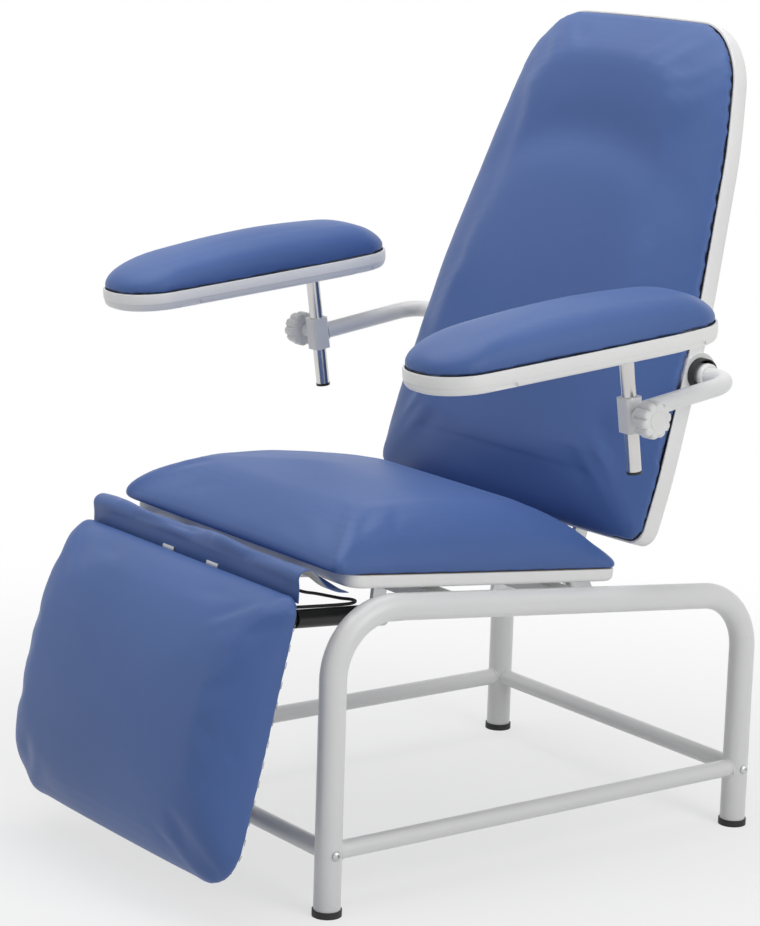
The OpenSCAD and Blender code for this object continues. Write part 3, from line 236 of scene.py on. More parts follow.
def plywood(name):
    mat, shader, at = material(name, Specular_IOR_Level=0.3)
    rings = at.node("TexWave", {"Vector": at.stretch(3.0, 26.0, 26.0), "Scale": 1.0,
                                "Distortion": 7.0, "Detail": 3.0, "Detail Scale": 1.2})
    fibre = noise(at.stretch(30.0, 900.0, 900.0), 1.0, 3.0, 0.6)
    at.feed(shader.inputs["Base Color"], rings.step(0.2, 0.9).mix(
        rgba(0.56, 0.39, 0.22), rgba(0.66, 0.49, 0.30)))
    at.feed(shader.inputs["Roughness"], 0.58 + 0.15 * fibre)
    at.feed(shader.inputs["Normal"], bump(fibre, 0.2, 0.0005))
    return mat


MATERIALS = {
    "blue_vinyl": vinyl("blue_vinyl"),
    "apron_vinyl": vinyl("apron_vinyl", 0.96, 0.04),
    "white_paint": powder("white_paint"),
    "white_plastic": moulded("white_plastic"),
    "knob_plastic": moulded("knob_plastic", 0.84, 0.18),
    "black_plastic": dark("black_plastic", 0.012, 0.38),
    "black_rubber": dark("black_rubber", 0.016, 0.55, 400.0, 0.35),
    "black_steel": dark("black_steel", 0.008, 0.26, 500.0, 0.08),
    "steel": metal("steel", (0.60, 0.61, 0.62), 0.30, 0.08),
    "chrome": metal("chrome", (0.62, 0.61, 0.60), 0.13, 0.05),
    "plywood": plywood("plywood"),
    "lining": dark("lining", 0.50, 0.80, 900.0, 0.4),
}


def dress(obj, name):
    obj.data.materials.clear()
    obj.data.materials.append(MATERIALS[name])


for node, obj in frame["nodes"].items():
    dress(obj, slots[node])
print("materials", len(MATERIALS))

# %% [markdown]
# ## Edges of the CAD pieces
# A sharp machined edge catches no light. Rounding could be modelled in each mesh, but a small
# bevel modifier gives the thin highlight that a real edge has and leaves the meshes as packed.

# %%
def soften(obj, width, segments=2):
    mod = obj.modifiers.new("edge", "BEVEL")
    mod.width = width
    mod.segments = segments
    mod.limit_method = "ANGLE"
    mod.angle_limit = math.radians(40)
    mod.use_clamp_overlap = True


WIDTHS = {"arm_clamp_left": 0.0022, "arm_clamp_right": 0.0022, "foot_caps": 0.0012,
          "post_cap_left": 0.0008, "post_cap_right": 0.0008, "release_lever": 0.0010}
for node, width in WIDTHS.items():
    soften(frame["nodes"][node], width)
print("softened", len(WIDTHS))

# %% [markdown]
# ## Frames of the moving groups
# These matrices repeat the construction: the seat's plane, the backrest, the leg rest and the two
# arms, each about its own hinge.

# %%
HINGE_BACK = Vector(joints["recline"]["pos_m"])
HINGE_LEG = Vector(joints["leg_rest_swing"]["pos_m"])
TOP_LINE = 0.455 - 0.394 * math.tan(math.radians(5.73)) + 0.020 / math.cos(math.radians(5.73))


def turn_x(degrees):
    return Matrix.Rotation(math.radians(degrees), 4, "X")


def move(x, y, z):
    return Matrix.Translation((x, y, z))


SEAT = move(0, SHIFT, TOP_LINE) @ turn_x(-5.73)
BACK = Matrix.Translation(HINGE_BACK) @ turn_x(90 - 17.9)
LEG = Matrix.Translation(HINGE_LEG) @ turn_x(90 - 14.1)


def arm_frame(side):
    mirror = Matrix.Diagonal((side, 1, 1, 1))
    return BACK @ move(0, 0.3133, 0.0046) @ turn_x(17.9 + 8.6 - 90) @ mirror


def post_frame(side):
    return arm_frame(side) @ move(0.397, -0.2039, 0)


def arm_pad_frame(side):
    yaw = math.degrees(math.atan(0.011 / 0.524))
    return post_frame(side) @ turn_x(-3.5) @ move(0.003, -0.388, 0.0986) \
        @ Matrix.Rotation(math.radians(-yaw), 4, "Z")


def mesh_object(name, points, faces, frame_matrix, mat, body, smooth=True):
    mesh = bpy.data.meshes.new(name)
    matrix = np.array(frame_matrix)
    points = np.asarray(points, float) @ matrix[:3, :3].T + matrix[:3, 3]
    if np.linalg.det(matrix[:3, :3]) < 0:
        faces = [tuple(reversed(f)) for f in faces]
    mesh.from_pydata(points.tolist(), [], [tuple(int(i) for i in f) for f in faces])
    mesh.update()
    obj = bpy.data.objects.new(name, mesh)
    scene.collection.objects.link(obj)
    for polygon in mesh.polygons:
        polygon.use_smooth = smooth
    dress(obj, mat)
    if body:
        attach(obj, body)
    return obj


def baked(obj):
    """The object's mesh with its modifiers applied, in place of its own."""
    depsgraph = bpy.context.evaluated_depsgraph_get()
    mesh = bpy.data.meshes.new_from_object(obj.evaluated_get(depsgraph))
    obj.modifiers.clear()
    obj.data = mesh
    return obj


# %% [markdown]
# ## Outline tables
# Each pad is described as in the source: its width and its crown are tables of shares along its
# length, smoothed so that no corner of the table shows.

# %%
LEG_DEPTH = [(0, .56), (.09, .64), (.17, .80), (.28, .92), (.45, 1), (.57, 1), (.70, .95),
             (.81, .83), (.91, .64), (1, .56)]
SEAT_DEPTH = [(0, .62), (.08, .78), (.19, .93), (.41, 1.02), (.54, 1), (.70, .95), (.82, .86),
              (.91, .64), (.95, .46), (1, .38)]
BACK_WIDTH = [(0, 1), (.13, 1), (.31, .966), (.46, .938), (.61, .882), (.76, .828), (.88, .752),
              (.94, .71), (1, .69)]
BACK_DEPTH = [(0, .80), (.10, .94), (.30, 1), (.50, .97), (.68, .88), (.76, .82), (.84, .98),
              (.92, 1), (1, .84)]
ARM_WIDTH = [(0, 1), (.50, 1), (.80, .98), (1, .82)]
ARM_DEPTH = [(0, .48), (.195, .84), (.365, .96), (.55, 1.02), (.85, .94), (1, .46)]


def table(rows, s, w=0.05):
    xs, ys = zip(*rows)
    taps = np.linspace(-w, w, 9)
    weights = np.cos(taps / w * 1.35)
    total = sum(k * np.interp(np.clip(s + t, 0, 1), xs, ys) for k, t in zip(weights, taps))
    return total / weights.sum()


def back_half(s):
    return 0.336 * table(BACK_WIDTH, s)


def back_crown(x, s):
    """The crown with a shallow valley that arches across the pad below the head's part."""
    q = np.clip(np.abs(x) / back_half(s), 0, 1)
    valley = np.exp(-((s - 0.745 + 0.13 * q * q) / 0.050) ** 2) * (1 - q ** 3)
    return 0.054 * table(BACK_DEPTH, s) - 0.0085 * valley


PADS = {
    "seat": dict(length=0.544, half=lambda s: 0.302 + 0 * s, crown=lambda x, s: 0.095 * table(SEAT_DEPTH, s),
                 round=0.110, edge=0.12, corners=(0.020, 0.022), draw=0.006),
    "leg": dict(length=0.442, half=lambda s: 0.301 + 0 * s, crown=lambda x, s: 0.091 * table(LEG_DEPTH, s),
                round=0.054, edge=0.10, corners=(0.066, 0.025), draw=0.006),
    "back": dict(length=0.814, half=back_half, crown=back_crown,
                 round=0.115, edge=0.07, corners=(0.026, 0.090), draw=0.003),
    "arm": dict(length=0.524, half=lambda s: 0.076 * table(ARM_WIDTH, s),
                crown=lambda x, s: 0.062 * table(ARM_DEPTH, s), round=0.037, edge=0.13,
                corners=(0.068, 0.054), draw=0.0015),
}


def outline(length, half, corners, straight=18, turn=12, bow=0.008):
    """A rectangle with round corners and slightly bowed sides, as shares of half-width and length."""
    def quarter(end, radius):
        rx, rs = radius / float(half(np.array(float(end)))), radius / length
        k = (np.arange(straight) + 0.5) / straight
        a = np.linspace(0, math.pi / 2, turn + 1)
        side = np.stack([1 + 0 * k, 0.5 + (0.5 - rs) * k], 1)
        bend = np.stack([1 - rx * (1 - np.cos(a)), 1 - rs * (1 - np.sin(a))], 1)
        return np.vstack([side, bend, np.stack([(1 - rx) * (1 - k), 1 + 0 * k], 1)])
    low, high = quarter(0, corners[0]), quarter(1, corners[1])
    low = np.stack([-low[:, 0], 1 - low[:, 1]], 1)
    x, s = np.vstack([high, high[::-1] * [-1, 1], low, low[::-1] * [-1, 1]]).T
    return x * (1 - bow * (2 * s - 1) ** 2), 0.5 + (s - 0.5) * (1 - bow * x * x)


def strips(rings, around):
    faces = []
    for k in range(rings - 1):
        for i in range(around):
            j = (i + 1) % around
            faces.append((k * around + i, k * around + j, (k + 1) * around + j, (k + 1) * around + i))
    return faces


def pad_form(length, half, crown, round, edge, corners, draw, shrink=0.0):
    rims, tops = 12, 16
    rings = [(draw, 0.0, 1.0), (draw * 0.55, 0.25 * edge, 1.0), (draw * 0.3, 0.5 * edge, 1.0),
             (draw * 0.08, 0.75 * edge, 1.0), (0.0, edge, 1.0)]
    for k in range(1, rims + 1):
        a = math.pi / 2 * k / rims
        rings.append((round * (1 - math.cos(a)), edge + (0.9 - edge) * math.sin(a), 1.0))
    for k in range(1, tops):
        q = 1 - k / tops
        rings.append((round, 0.9 + 0.1 * (1 - q * q), q))
    px, ps = outline(length, half, corners)
    around = len(px)
    points = []
    for inset, height, q in rings:
        inset = inset + shrink
        x = px * (half(ps) - inset) * q
        s = 0.5 + ((inset / length + (1 - 2 * inset / length) * ps) - 0.5) * q
        z = height * crown(x, s) * (1 - shrink * 6)
        points.append(np.stack([x, s * length, z], 1))
    tip = np.array([[0, length / 2, float(crown(np.array(0.0), np.array(0.5))) * (1 - shrink * 6)]])
    count = len(rings)
    faces = strips(count, around)
    faces.append(tuple(reversed(range(around))))
    last = (count - 1) * around
    faces += [(last + i, last + (i + 1) % around, count * around) for i in range(around)]
    return np.vstack(points + [tip]), faces


# %% [markdown]
# ## Upholstery
# A pad of this chair is foam under tight vinyl, stapled behind a plywood board. It could be a
# sculpted or subdivided block, but then its surface would be too even. Here each pad starts a
# little small, its skin is remeshed to even cells, held along the stapled lower edge and blown up
# as cloth. How far a point may travel is capped, so that the pad keeps the outline of its board.


# %%
def inflate(obj, base, cap, hold, frames=20, pressure=4.0):
    mesh = obj.data
    start = np.empty(len(mesh.vertices) * 3)
    mesh.vertices.foreach_get("co", start)
    start = start.reshape(-1, 3)
    local = start @ np.linalg.inv(base[:3, :3]).T - np.linalg.inv(base[:3, :3]) @ base[:3, 3]
    pins = obj.vertex_groups.new(name="held")
    for i, (x, y, z) in enumerate(local):
        if z < hold:
            pins.add([i], 1.0, "REPLACE")
    cloth = obj.modifiers.new("cloth", "CLOTH")
    settings = cloth.settings
    settings.quality = 4
    settings.mass = 0.35
    settings.tension_stiffness = settings.compression_stiffness = 22
    settings.shear_stiffness = 12
    settings.bending_stiffness = 1.2
    settings.vertex_group_mass = "held"
    settings.use_pressure = True
    settings.uniform_pressure_force = pressure
    settings.effector_weights.gravity = 0
    cloth.collision_settings.use_collision = False
    cloth.point_cache.frame_start = 1
    cloth.point_cache.frame_end = frames
    for f in range(1, frames + 1):
        scene.frame_set(f)
    depsgraph = bpy.context.evaluated_depsgraph_get()
    blown = obj.evaluated_get(depsgraph).to_mesh()
    after = np.empty(len(blown.vertices) * 3)
    blown.vertices.foreach_get("co", after)
    after = after.reshape(-1, 3)
    obj.modifiers.clear()
    scene.frame_set(1)
    travel = after - start
    far = np.linalg.norm(travel, axis=1, keepdims=True)
    travel *= np.minimum(1.0, cap / np.maximum(far, 1e-9))
    edges = np.empty(len(mesh.edges) * 2, int)
    mesh.edges.foreach_get("vertices", edges)
    edges = edges.reshape(-1, 2)
    for _ in range(6):
        total, count = np.zeros_like(travel), np.zeros((len(travel), 1))
        for a, b in ((0, 1), (1, 0)):
            np.add.at(total, edges[:, a], travel[edges[:, b]])
            np.add.at(count, edges[:, a], 1)
        travel = 0.4 * travel + 0.6 * total / np.maximum(count, 1)
    mesh.vertices.foreach_set("co", (start + travel).ravel())
    mesh.update()
    return float(np.linalg.norm(travel, axis=1).mean())


def upholstered(name, kind, matrix, body, nodes, cap, voxel):
    pad = PADS[kind]
    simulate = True
    shrink = 0.003 if simulate else 0.0
    points, faces = pad_form(**pad, shrink=shrink)
    obj = mesh_object(name, points, faces, matrix, "blue_vinyl", None)
    even = obj.modifiers.new("even", "REMESH")
    even.mode = "VOXEL"
    even.voxel_size = voxel
    baked(obj)
    for polygon in obj.data.polygons:
        polygon.use_smooth = True
    if simulate:
        mean = inflate(obj, np.array(matrix), cap, 0.0025)
        print(name, "swelled", round(mean * 1000, 1), "mm on average")
    mod = obj.modifiers.new("smooth", "SUBSURF")
    mod.levels = mod.render_levels = 1
    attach(obj, body)
    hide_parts(*nodes)
    return obj


SEAT_PAD = SEAT @ move(0, -0.400, 0.025)
LEG_PAD = LEG @ move(0, -0.003 - 0.442, 0.025)
BACK_PAD = BACK @ move(0, 0.0335, 0.0335)
seat = upholstered("seat_vinyl", "seat", SEAT_PAD, "base", ["seat_cushion"], 0.006, 0.006)
leg = upholstered("leg_vinyl", "leg", LEG_PAD, "leg_rest", ["leg_cushion"], 0.006, 0.006)
backrest = upholstered("back_vinyl", "back", BACK_PAD, "backrest", ["back_cushion"], 0.006, 0.007)
arm_pads = {}
for side, word in ((1, "left"), (-1, "right")):
    arm_pads[word] = upholstered("arm_vinyl_" + word, "arm", arm_pad_frame(side) @ move(0, 0, 0.0292),
                                 "pad_" + word, ["arm_cushion_" + word], 0.005, 0.0045)

# %% [markdown]
# ## Moulded shells
# A shell is a dish: rings of one outline at rising heights, inside and out. Recesses and notches
# are cut with a boolean, and a bevel softens every edge that is left.


# %%
def dish_form(rings, length, half, corners):
    px, ps = outline(length, half, corners)
    around = len(px)
    points = []
    for inset, z in rings:
        s = inset / length + (1 - 2 * inset / length) * ps
        points.append(np.stack([px * (half(ps) - inset), s * length, np.full(around, z)], 1))
    faces = strips(len(rings), around)
    last = (len(rings) - 1) * around
    faces.append(tuple(reversed(range(around))))
    faces.append(tuple(last + i for i in range(around)))
    return np.vstack(points), faces


def carve(obj, cutters, operation="DIFFERENCE"):
    for cutter in cutters:
        mod = obj.modifiers.new("cut", "BOOLEAN")
        mod.operation = operation
        mod.solver = "EXACT"
        mod.object = cutter
    baked(obj)
    for cutter in cutters:
        bpy.data.objects.remove(cutter)


def sharp_smooth(obj, degrees=32):
    mesh = obj.data
    for polygon in mesh.polygons:
        polygon.use_smooth = True
    mesh.set_sharp_from_angle(angle=math.radians(degrees))


def cylinder_form(radius, start, end, sides=64):
    a = 2 * np.pi * np.arange(sides) / sides
    ring = np.stack([np.zeros(sides), radius * np.cos(a), radius * np.sin(a)], 1)
    low, high = ring + [start, 0, 0], ring + [end, 0, 0]
    faces = strips(2, sides)
    faces.append(tuple(reversed(range(sides))))
    faces.append(tuple(sides + i for i in range(sides)))
    return np.vstack([low, high]), faces


print("shell helpers ready")

# %% [markdown]
# ## Arm pad shells
# Each arm pad sits in a white tray with a rounded floor. Its two long sides have a notch near
# each end, closed behind by a wall of the same thickness.


# %%
def prism(name, corners, x0, x1):
    """A solid along X over a polygon of (y, z) corners."""
    n = len(corners)
    points = [(x, y, z) for x in (x0, x1) for y, z in corners]
    faces = [tuple(range(n)), tuple(reversed(range(n, 2 * n)))]
    faces += [(i, i + n, (i + 1) % n + n, (i + 1) % n) for i in range(n)]
    mesh = bpy.data.meshes.new(name)
    mesh.from_pydata(points, [], faces)
    mesh.update()
    obj = bpy.data.objects.new(name, mesh)
    scene.collection.objects.link(obj)
    tidy_normals(obj)
    return obj


def tidy_normals(obj):
    bm = bmesh.new()
    bm.from_mesh(obj.data)
    bmesh.ops.recalc_face_normals(bm, faces=bm.faces)
    bm.to_mesh(obj.data)
    bm.free()


def plain(name, points, faces):
    mesh = bpy.data.meshes.new(name)
    mesh.from_pydata(np.asarray(points).tolist(), [], [tuple(int(i) for i in f) for f in faces])
    mesh.update()
    obj = bpy.data.objects.new(name, mesh)
    scene.collection.objects.link(obj)
    tidy_normals(obj)
    return obj


ARM_RIM = [(0.0125, 0.0), (0.0080, 0.0006), (0.0046, 0.0022), (0.0024, 0.0050), (0.0013, 0.0085),
           (0.0009, 0.0120), (0.0001, 0.0132), (0.0, 0.0275), (0.0006, 0.0288)]


def notch_prisms(grow):
    made = []
    for share in (0.2, 0.86):
        half = float(PADS["arm"]["half"](np.array(share)))
        mid = share * 0.524
        corners = [(mid - 0.025 - grow, -0.003), (mid + 0.025 + grow, -0.003),
                   (mid + 0.015 + grow, 0.0095 + grow), (mid - 0.015 - grow, 0.0095 + grow)]
        for side in (1, -1):
            inner, outer = side * (half - 0.0085 - grow), side * (half + 0.004)
            made.append(prism("notch", corners, min(inner, outer), max(inner, outer)))
    return made


def arm_shell_mesh():
    size = PADS["arm"]
    inner = [(i + 0.003, max(z, 0.003)) for i, z in ARM_RIM[:-1]] + [(0.003, 0.035)]
    room = plain("room", *dish_form(inner, size["length"], size["half"], size["corners"]))
    carve(room, notch_prisms(0.0025))
    body = plain("arm_shell_form", *dish_form(ARM_RIM, size["length"], size["half"], size["corners"]))
    carve(body, [room])
    carve(body, notch_prisms(0.0))
    mesh = body.data
    bpy.data.objects.remove(body)
    return mesh


arm_shell_form = arm_shell_mesh()
for side, word in ((1, "left"), (-1, "right")):
    mesh = arm_shell_form.copy()
    mesh.transform(arm_pad_frame(side))
    if side < 0:
        mesh.flip_normals()
    shell = bpy.data.objects.new("arm_tray_" + word, mesh)
    scene.collection.objects.link(shell)
    dress(shell, "white_plastic")
    sharp_smooth(shell)
    soften(shell, 0.0007)
    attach(shell, "pad_" + word)
    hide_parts("arm_shell_" + word)
print("arm shells", len(arm_shell_form.polygons), "faces each")

# %% [markdown]
# ## Backrest shell
# The shell is a shallow dish with a sloping back. A round pocket in each side takes the sleeve of
# an arm, and two slots at the foot let the backrest's side arms through.

# %%
BACK_SHELL = BACK @ move(0, 0.0335, 0)
BACK_RIM = [(0.0780, -0.0180), (0.0700, -0.0177), (0.0120, -0.0012), (0.0088, -0.0001), (0.0062, 0.0021),
            (0.0034, 0.0055), (0.0022, 0.0079), (0.0020, 0.0115), (0.0020, 0.0317), (0.0027, 0.0331)]
PIVOT = (0.3133 - 0.0335, 0.0046)


def bore(radius, start, end, sides=96):
    points, faces = cylinder_form(radius, start, end, sides)
    return plain("bore", points + np.array([0, *PIVOT]), faces)


def back_shell_object():
    size = PADS["back"]
    form = (size["length"], size["half"], size["corners"])
    inner = [(i + 0.003, z + 0.003) for i, z in BACK_RIM[:-2]] + [(0.0050, 0.060)]
    body = plain("back_dish", *dish_form(BACK_RIM, *form))
    carve(body, [plain("room", *dish_form(inner, *form))])
    for side in (1, -1):
        ends = sorted((side * 0.284, side * 0.3212))
        pocket = bore(0.032, *ends)
        carve(pocket, [prism("above", [(-1, 0.0329), (2, 0.0329), (2, 0.3), (-1, 0.3)], -1, 1)])
        carve(body, [pocket], "UNION")
        ends = sorted((side * 0.287, side * 0.36))
        carve(body, [bore(0.025, *ends), bore(0.0173, *sorted((side * 0.20, side * 0.36)))])
        low = side * 0.158
        carve(body, [prism("slot", [(-0.09, -0.03), (0.060, -0.03), (0.060, 0.0329), (-0.09, 0.0329)],
                           low - 0.007, low + 0.007)])
    return body


shell = back_shell_object()
shell.name = "back_tray"
shell.data.transform(BACK_SHELL)
dress(shell, "white_plastic")
sharp_smooth(shell)
soften(shell, 0.0008)
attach(shell, "backrest")
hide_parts("back_shell")
print("backrest shell", len(shell.data.polygons), "faces")

# %% [markdown]
# ## Seat tray
# The seat's white tray shows as a band under the cushion and as a floor from below. It is a dish
# of the same rings as the shells, with the tray's own straight outline and a rounded lower edge.

# %%
TRAY_RIM = [(0.0080, 0.0), (0.0044, 0.0005), (0.0022, 0.0018), (0.0008, 0.0040), (0.0, 0.0072),
            (0.0, 0.0190), (0.0006, 0.0199)]
tray_size = (0.504, lambda s: 0.296 + 0 * s, (0.020, 0.022))
tray = plain("seat_tray_band", *dish_form(TRAY_RIM, *tray_size))
carve(tray, [plain("room", *dish_form([(0.0110, 0.003), (0.0040, 0.0072), (0.0030, 0.012), (0.0030, 0.03)],
                                      *tray_size))])
tray.data.transform(SEAT @ move(0, -0.366, 0.005))
dress(tray, "white_plastic")
sharp_smooth(tray)
soften(tray, 0.0006)
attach(tray, "base")
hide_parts("seat_tray")
print("seat tray", len(tray.data.polygons), "faces")

# %% [markdown]
# ## Apron over the leg rest hinge
# A strip of the same vinyl runs from the leg pad over the hinge to the seat. It could be draped by
# a simulation, but the folds of the real one are few, so they are placed one by one: a section swept
# across the seat, with soft ridges along chosen lines. Its near edge shows the pale backing cloth.

# %%
APRON_MID = [(-.80, -.30, 0), (-.75, .45, .3), (-.7, .83, .8), (-.45, 1.02, 1), (-.12, 1, 1), (.2, .86, .5),
             (.55, .6, .1), (.9, .38, 0), (1.25, .28, 0), (1.55, .26, 0)]
APRON_SIDE = [(-.80, -.40, 0), (-.74, .3, .3), (-.7, .83, .8), (-.45, 1.02, 1), (-.12, 1, 1), (.2, .84, .5),
              (.55, .5, .1), (.95, .14, 0), (1.5, -.1, 0), (2.1, -.2, 0)]


def spline_rows(rows, count):
    rows = np.array(rows, float)
    n = len(rows)
    t = np.linspace(0, n - 1.0001, count)
    i = t.astype(int)
    u = (t - i)[:, None]
    a, b = rows[np.maximum(i - 1, 0)], rows[i]
    c, d = rows[np.minimum(i + 1, n - 1)], rows[np.minimum(i + 2, n - 1)]
    return 0.5 * (2 * b + (c - a) * u + (2 * a - 5 * b + 4 * c - d) * u ** 2
                  + (3 * b - a - 3 * c + d) * u ** 3)


def ridge(x, k, x0, k0, x1, k1, width, height):
    """A soft fold along the line from (x0, k0) to (x1, k1), in metres and in shares of the strip."""
    ax, ak = (x1 - x0), (k1 - k0) * 0.09
    px, pk = x - x0, (k - k0) * 0.09
    along = np.clip((px * ax + pk * ak) / (ax * ax + ak * ak), 0, 1)
    off = np.hypot(px - along * ax, pk - along * ak)
    fade = np.sin(np.pi * np.clip(along * 0.86 + 0.07, 0, 1)) ** 0.6
    return height * fade * np.exp(-(off / width) ** 2)


def apron_object():
    nx, nk = 220, 64
    xs = np.linspace(-0.28, 0.28, nx + 1)
    mid, edge = spline_rows(APRON_MID, nk), spline_rows(APRON_SIDE, nk)
    ks = np.linspace(0, 1, nk)
    points = []
    for i, x in enumerate(xs):
        q = min(max((abs(x) - 0.245) / 0.030 + 0.5, 0), 1)
        e = q * q * (3 - 2 * q)
        line = (mid * (1 - e) + edge * e)
        yz = line[:, :2] * 0.030
        t = np.gradient(yz, axis=0)
        t /= np.linalg.norm(t, axis=1, keepdims=True)
        normal = np.stack([-t[:, 1], t[:, 0]], 1)
        share = i / nx
        wave = 0.5 * math.sin(math.radians(720 * share + 30)) + 0.3 * math.sin(math.radians(1300 * share))
        lift = 0.0036 * (1 + wave) * line[:, 2]
        lift = lift + line[:, 2] * (
            ridge(x, ks, -0.215, 0.36, -0.02, 0.24, 0.0065, 0.0045)
            + ridge(x, ks, -0.03, 0.40, 0.13, 0.26, 0.0070, 0.0050)
            + ridge(x, ks, 0.06, 0.30, 0.20, 0.40, 0.0060, 0.0035)
            + ridge(x, ks, -0.16, 0.22, 0.02, 0.34, 0.0050, -0.0030)
            + ridge(x, ks, 0.00, 0.22, 0.16, 0.20, 0.0050, -0.0028))
        yz = yz + normal * lift[:, None]
        points.append(np.column_stack([np.full(nk, x), yz]))
    faces = [(i * nk + k, (i + 1) * nk + k, (i + 1) * nk + k + 1, i * nk + k + 1)
             for i in range(nx) for k in range(nk - 1)]
    obj = mesh_object("apron", np.vstack(points), faces, Matrix.Translation(HINGE_LEG), "apron_vinyl", None)
    obj.data.materials.append(MATERIALS["lining"])
    solid = obj.modifiers.new("thick", "SOLIDIFY")
    solid.thickness = 0.0012
    solid.offset = -1
    solid.material_offset = 1
    return obj


apron = apron_object()
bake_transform(apron)
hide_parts("hinge_apron")
print("apron", len(apron.data.polygons), "faces")

# %% [markdown]
# ## Star knobs
# A knob is a lobed disc with rounded shoulders, a shallow ring and a cap in the middle, on the
# hub and the stud that clamp the post. Cutting ten hollows with booleans leaves thin faces, so the
# lobes are part of the turned profile: each ring's radius dips ten times around.


# %%
def knob_form():
    around = 240
    a = 2 * np.pi * np.arange(around) / around
    lobe = (1 - np.abs(np.cos(5 * a))) ** 2
    profile = [
        (0.0340, 0.60, 0.3), (0.0342, 0.86, 0.8), (0.0352, 0.95, 1), (0.0372, 0.99, 1), (0.0405, 1.0, 1),
        (0.0520, 1.0, 1), (0.0565, 0.985, 1), (0.0592, 0.95, 1), (0.0610, 0.88, 0.9),
        (0.0618, 0.78, 0.6), (0.0620, 0.66, 0.25), (0.0616, 0.58, 0.1), (0.0606, 0.54, 0),
        (0.0606, 0.50, 0), (0.0618, 0.47, 0), (0.0620, 0.30, 0), (0.0620, 0.06, 0),
    ]
    points = []
    for x, share, depth in profile:
        r = 0.028 * share - 0.0044 * depth * lobe
        points.append(np.stack([np.full(around, x), r * np.cos(a), r * np.sin(a)], 1))
    faces = strips(len(profile), around)
    last = (len(profile) - 1) * around
    faces.append(tuple(reversed(range(around))))
    faces.append(tuple(last + i for i in range(around)))
    start = len(profile) * around
    hub, hub_faces = lathe([(0.0115, 0.0), (0.0115, 0.005), (0.0148, 0.005), (0.0148, 0.0098),
                            (0.0155, 0.0110), (0.0338, 0.0110), (0.0345, 0.0)], 64)
    faces += [tuple(start + i for i in f) for f in hub_faces]
    return np.vstack(points + [hub]), faces


def lathe(profile, sides):
    """A body turned about X from (x, radius) points."""
    a = 2 * np.pi * np.arange(sides) / sides
    points, faces = [], []
    for x, r in profile:
        points.append(np.stack([np.full(sides, x), r * np.cos(a), r * np.sin(a)], 1))
    faces = strips(len(profile), sides)
    return np.vstack(points), faces


for side, word in ((1, "left"), (-1, "right")):
    knob = mesh_object("star_knob_" + word, *knob_form(), post_frame(side), "knob_plastic", None)
    tidy_normals(knob)
    sharp_smooth(knob, 50)
    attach(knob, "knob_" + word)
    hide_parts("arm_knob_" + word)
print("knobs made")

# %% [markdown]
# ## Welds, screws and trim
# Where a low rail meets a leg, a thin weld bead follows the curve of the joint under the paint.
# The rails are held by button-head screws with a hexagon socket.


# %%
def tube_along(name, path, radius, mat, body, closed=True, sides=10):
    path = np.asarray(path, float)
    n = len(path)
    points = []
    for i in range(n):
        before = path[(i - 1) % n] if closed else path[max(i - 1, 0)]
        after = path[(i + 1) % n] if closed else path[min(i + 1, n - 1)]
        t = after - before
        t /= np.linalg.norm(t)
        ref = np.array([0, 0, 1.0]) if abs(t[2]) < 0.9 else np.array([1.0, 0, 0])
        u = np.cross(ref, t)
        u /= np.linalg.norm(u)
        w = np.cross(t, u)
        r = radius[i] if hasattr(radius, "__len__") else radius
        for k in range(sides):
            a = 2 * math.pi * k / sides
            points.append(path[i] + r * (u * math.cos(a) + w * math.sin(a)))
    faces = []
    for i in range(n if closed else n - 1):
        for k in range(sides):
            j, m = (i + 1) % n, (k + 1) % sides
            faces.append((i * sides + k, i * sides + m, j * sides + m, j * sides + k))
    if not closed:
        faces.append(tuple(reversed(range(sides))))
        faces.append(tuple((n - 1) * sides + k for k in range(sides)))
    obj = mesh_object(name, points, faces, Matrix.Identity(4), mat, body)
    tidy_normals(obj)
    return obj


def cope(r_leg, r_rail, steps=72):
    a = 2 * np.pi * np.arange(steps) / steps
    c, s = r_rail * np.cos(a), r_rail * np.sin(a)
    return np.sqrt(r_leg ** 2 - c ** 2), c, s


rng = np.random.default_rng(7)
count = 0
for x in (-1, 1):
    for y in (-1, 1):
        leg_x, leg_y = x * 0.301, SHIFT + y * 0.394
        out, c, s = cope(0.0202, 0.0137)
        bead = 0.0016 + 0.0003 * rng.random(len(out))
        path = np.stack([leg_x + c, leg_y - y * out, 0.095 + s], 1)
        piece = tube_along("weld_side_%d" % count, path, bead, "white_paint", "base")
        count += 1


def screw_head():
    rings = [(0.0, 0.0070), (0.0006, 0.0072), (0.0016, 0.0071), (0.0028, 0.0062), (0.0037, 0.0048),
             (0.0042, 0.0036)]
    sides = 48
    points, faces = lathe(rings, sides)
    hexagon = 0.0026 / np.maximum(np.cos((2 * np.pi * np.arange(sides) / sides + math.pi / 6) % (math.pi / 3)
                                         - math.pi / 6), 0.5)
    a = 2 * np.pi * np.arange(sides) / sides
    for depth in (0.0042, 0.0018):
        ring = np.stack([np.full(sides, depth), hexagon * np.cos(a), hexagon * np.sin(a)], 1)
        points = np.vstack([points, ring])
    base = (len(rings) - 1) * sides
    faces += [tuple(base + i for i in f) for f in strips(3, sides)]
    faces.append(tuple(len(points) - sides + i for i in range(sides)))
    shaft, shaft_faces = lathe([(0.0, 0.0070), (0.0, 0.0039), (-0.0560, 0.0039), (-0.0600, 0.0020)], sides)
    start = len(points)
    faces += [tuple(start + i for i in f) for f in shaft_faces]
    return np.vstack([points, shaft]), faces


